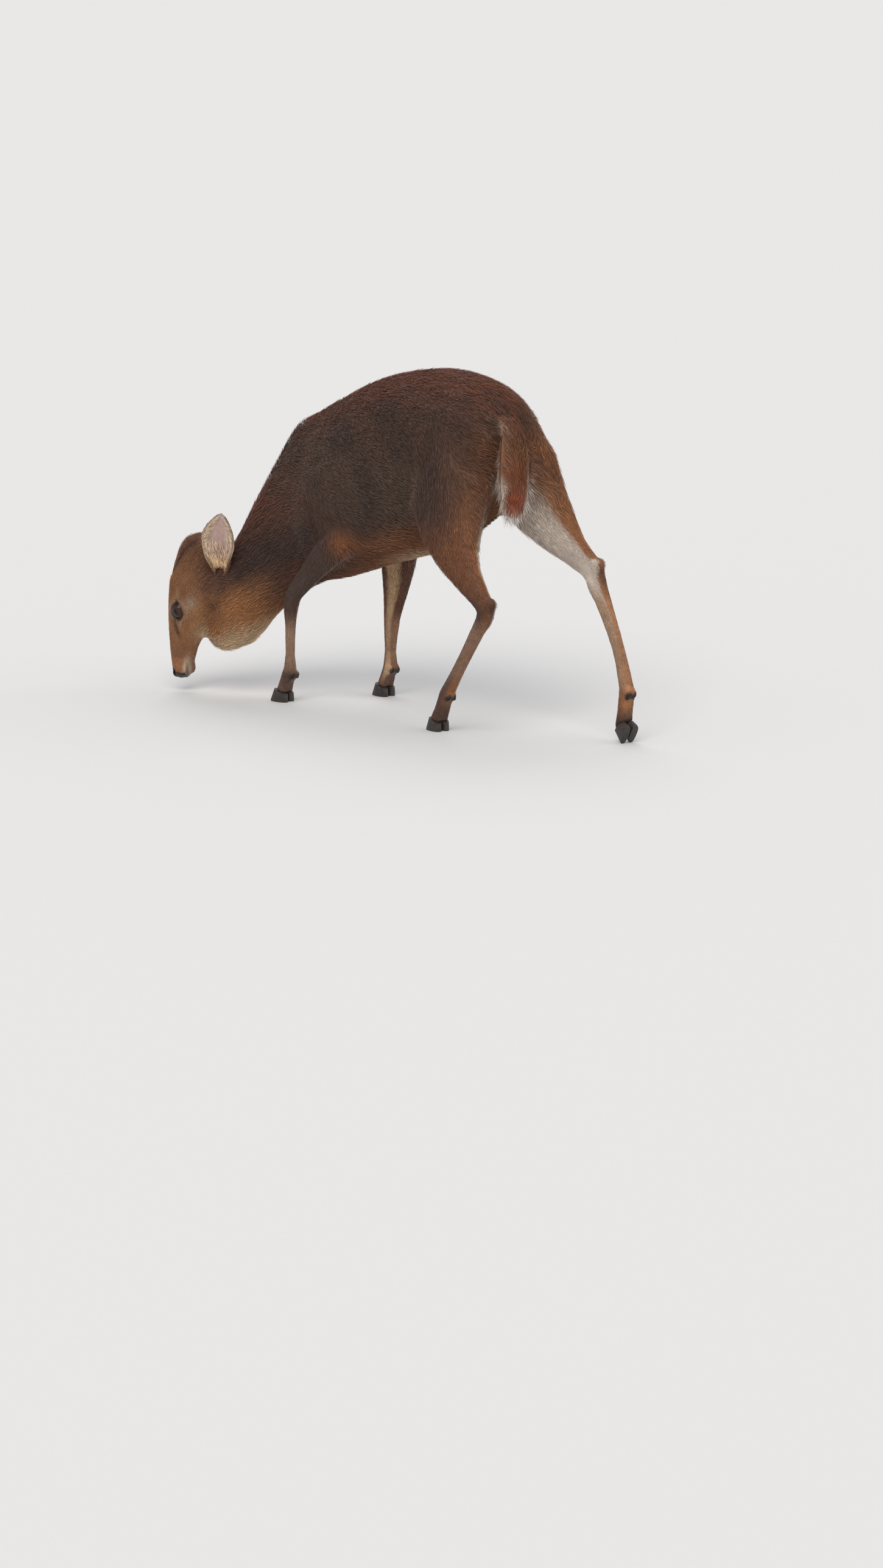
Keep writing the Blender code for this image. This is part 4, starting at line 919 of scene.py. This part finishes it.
def ear_hair(turn):
    """Short hair that lies up the outside of the cup, sparse pale hair inside it and a tuft at its base."""
    chance = np.random.default_rng(31 + turn)
    count = 5200
    u = chance.uniform(0.02, 0.95, count)
    v = chance.uniform(-0.97, 0.97, count)
    outside = np.arange(count) < 3400
    edge = (~outside) & (np.arange(count) < 4400)
    v = np.where(edge, np.sign(v) * (0.97 - 0.42 * chance.uniform(0, 1, count) ** 2.2), v)
    u = np.where(np.arange(count) >= 4400, 0.02 + 0.42 * chance.uniform(0, 1, count) ** 1.8, u)
    middle = ear_surface(turn, u, v)
    du = unit(ear_surface(turn, u + 1e-4, v) - middle)
    dv = unit(ear_surface(turn, u, v + 1e-4) - middle)
    normal = unit(np.cross(du, dv))
    normal *= np.sign(normal[np.abs(v).argmin()] @ ear_axes(turn)[1])
    normal = np.where(outside[:, None], -normal, normal)
    ways = du + dv * (chance.normal(0, 0.15, count) - np.where(edge, 0.9 * np.sign(v), 0))[:, None]
    length = np.where(outside, 0.0052, np.where(edge, 0.0100, 0.0150)) * chance.uniform(0.45, 1.3, count)
    length *= np.where(outside, 1 - 0.25 * u, 1)
    length = np.minimum(length, 0.0015 + (0.985 - u) * EAR_LENGTH)
    width = np.where(outside, 0.0007, 0.00065) * chance.uniform(0.7, 1.3, count)
    rise = np.where(outside, 0.0006, np.where(edge, 0.0032, 0.0050)) * chance.uniform(0.5, 1.3, count)
    roots = middle + normal * (EAR_THICK * 0.42)
    colours = ear_colours(u, v * 0.93, (~outside).astype(float), roots)
    colours = wash(colours, tint(236, 210, 178), (~outside) * chance.uniform(0.35, 0.85, count))
    charts = np.stack([0.02 + 0.30 * (v + 1) / 2 + 0.34 * (~outside), 0.02 + 0.9 * u], 1)
    return locks(roots, normal, ways, length, width, rise, colours, charts, 33 + turn)


for turn, side_name in ((1, "left"), (-1, "right")):
    cup = ear_cup(f"ear_cup_{side_name}", turn)
    cup.data.materials.append(hair_material("ear_velvet",
                                            0.66) if turn > 0 else bpy.data.materials["ear_velvet"])
    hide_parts(f"ear_{side_name}")
    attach(cup, "root")
    points, faces, painted, charts = ear_hair(turn)
    lock_piece(f"ear_hair_{side_name}", points, faces, painted, charts, bpy.data.materials["coat_hair"])


# The eyes. A wet dark ball in its socket, a brown iris just lighter than the long pupil.
def eye_ball(name, turn):
    """A sphere whose front swells by the cornea, a bump of 0.6 mm that falls off over 7 mm round the axis."""
    middle, outward, along, across = eye_frame(turn)
    polar, round_it = np.meshgrid(np.linspace(0, math.pi, 49),
                                  np.linspace(0, 2 * math.pi, 64, endpoint=False), indexing="ij")
    radius = EYE_RADIUS - 0.0001 + 0.0006 * np.exp(-(polar / 0.50) ** 2)
    off = (np.cos(polar)[..., None] * outward + (np.sin(polar) * np.cos(round_it))[..., None] * along
           + (np.sin(polar) * np.sin(round_it))[..., None] * across)
    rows, across_count = polar.shape
    number = np.arange(rows * across_count).reshape(rows, across_count)
    after = np.roll(number, -1, 1)
    faces = np.stack([number[:-1], number[1:], after[1:], after[:-1]], -1).reshape(-1, 4)
    obj = new_piece(name, (middle + radius[..., None] * off).reshape(-1, 3) - MIDDLE, faces)
    settle_poles(obj)
    places = places_of(obj) - middle
    a, b, front = places @ along, places @ across, places @ outward
    reach = np.hypot(a, b)
    colours = np.tile(tint(34, 20, 14), (len(places), 1))
    colours = wash(colours, tint(58, 34, 20), ramp(reach, 0.0035, 0.0060) * ramp(0.0092 - reach, 0, 0.001))
    colours = wash(colours, tint(6, 5, 6), ramp(1.0 - np.hypot(a / 0.0056, b / 0.0030), 0, 0.15))
    colours = wash(colours, tint(16, 11, 10), ramp(reach, 0.0088, 0.0098))
    colour_hair(obj, colours * ramp(front, -0.004, 0.0)[:, None])
    return obj


def settle_poles(obj):
    """Merges the rings of points at the two poles."""
    mesh = bmesh.new()
    mesh.from_mesh(obj.data)
    bmesh.ops.remove_doubles(mesh, verts=mesh.verts, dist=1e-6)
    bmesh.ops.recalc_face_normals(mesh, faces=mesh.faces)
    mesh.to_mesh(obj.data)
    mesh.free()
    obj.data.shade_smooth()


eye_wet, shader, place = new_material("eye_wet", 0.06, Coat_Weight=0.35, Coat_Roughness=0.02,
                                      Specular_IOR_Level=0.20)
feed(shader, "Base Color", place.node("ShaderNodeAttribute", {"attribute_name": "hair"}))
for turn, side_name in ((1, "left"), (-1, "right")):
    ball = eye_ball(f"eyeball_{side_name}", turn)
    ball.data.materials.append(eye_wet)
    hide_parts(f"eye_{side_name}")
    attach(ball, "root")


# The hooves. Two narrow toes of dark horn on each foot, set over the skin of the foot, with fine growth rings
# and a cloudy, uneven tone.
horn, shader, place = new_material("hoof_horn_grown", 0.42, Specular_IOR_Level=0.45)
rings = place.node("ShaderNodeTexWave", {"bands_direction": "Z"}, Vector=place, Scale=190.0, Distortion=5.0,
                   Detail=3.0)
rings.socket = rings.socket.node.outputs["Fac"]
cloud = place.node("ShaderNodeTexNoise", Vector=place, Scale=160.0, Detail=4.0)
worn = (cloud * 1.5 + rings * 0.08 - 0.35).clamp()
feed(shader, "Base Color",
     place.node("ShaderNodeMix", {"data_type": "RGBA"}, n0=worn, n6=(0.011, 0.008, 0.007, 1),
                                      n7=(0.060, 0.045, 0.036, 1)))
feed(shader, "Roughness", 0.36 + cloud * 0.22)
feed(shader, "Normal",
     place.node("ShaderNodeBump", Height=rings * 0.35 + cloud, Strength=0.30, Distance=0.0003))
for node_name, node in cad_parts.items():
    if node_name.startswith("hoof"):
        node.data.materials.clear()
        node.data.materials.append(horn)


# The studio. A flat pale floor, soft lights, and the photograph's long lens at 9 m.
def studio_floor():
    """A flat square, 80 m on a side, so that no edge of it shows."""
    corners = np.array([(-40, -40, 0), (40, -40, 0), (40, 40, 0), (-40, 40, 0)], float)
    obj = new_piece("studio_floor", corners, np.array([(0, 1, 2, 3)]))
    material, shader, _ = new_material("studio_paper", 0.9)
    shader.inputs["Base Color"].default_value = (0.60, 0.595, 0.585, 1)
    obj.data.materials.append(material)
    return obj


studio_floor()
LOOK_TURN, LOOK_DOWN, AWAY, FOCAL_PIXELS = math.radians(40), math.radians(10), 9.0, 11160
look = Vector((math.cos(LOOK_TURN) * math.cos(LOOK_DOWN), -math.sin(LOOK_TURN) * math.cos(LOOK_DOWN),
               -math.sin(LOOK_DOWN)))
right = Vector((-math.sin(LOOK_TURN), -math.cos(LOOK_TURN), 0))
above = right.cross(look)
lens = bpy.data.cameras.new("camera")
camera = bpy.data.objects.new("camera", lens)
bpy.context.scene.collection.objects.link(camera)
camera.location = Vector(-MIDDLE) - look * AWAY
aim = look * FOCAL_PIXELS + right * (725 - 713) - above * (1288 - 1176)
camera.rotation_euler = aim.to_track_quat("-Z", "Y").to_euler()
lens.sensor_fit = "VERTICAL"
lens.sensor_height = 24.0
lens.lens = 12.0 / (1288 / FOCAL_PIXELS)
lens.clip_end = 60.0
bpy.context.scene.camera = camera


def soft_light(name, turn, height, spread, strength, colour):
    """A far lamp that shines from a turn round the animal and a height, both in degrees, with a wide soft
    edge."""
    lamp = bpy.data.lights.new(name, "SUN")
    lamp.angle = math.radians(spread)
    lamp.energy = strength
    lamp.color = colour
    obj = bpy.data.objects.new(name, lamp)
    bpy.context.scene.collection.objects.link(obj)
    turn, height = math.radians(turn), math.radians(height)
    to_lamp = Vector((math.cos(turn) * math.cos(height), math.sin(turn) * math.cos(height), math.sin(height)))
    obj.rotation_euler = (-to_lamp).to_track_quat("-Z", "Y").to_euler()
    obj.location = to_lamp * 3


soft_light("key_light", 128, 48, 40, 1.9, (1.0, 0.97, 0.93))
soft_light("fill_light", 215, 30, 60, 0.7, (0.96, 0.98, 1.0))
soft_light("rim_light", -30, 50, 40, 0.8, (1.0, 0.98, 0.96))
world = bpy.data.worlds.new("studio_air")
world.use_nodes = True
world.node_tree.nodes["Background"].inputs["Color"].default_value = (0.93, 0.95, 1.0, 1)
world.node_tree.nodes["Background"].inputs["Strength"].default_value = 0.62
bpy.context.scene.world = world
bpy.context.scene.view_settings.view_transform = "Standard"
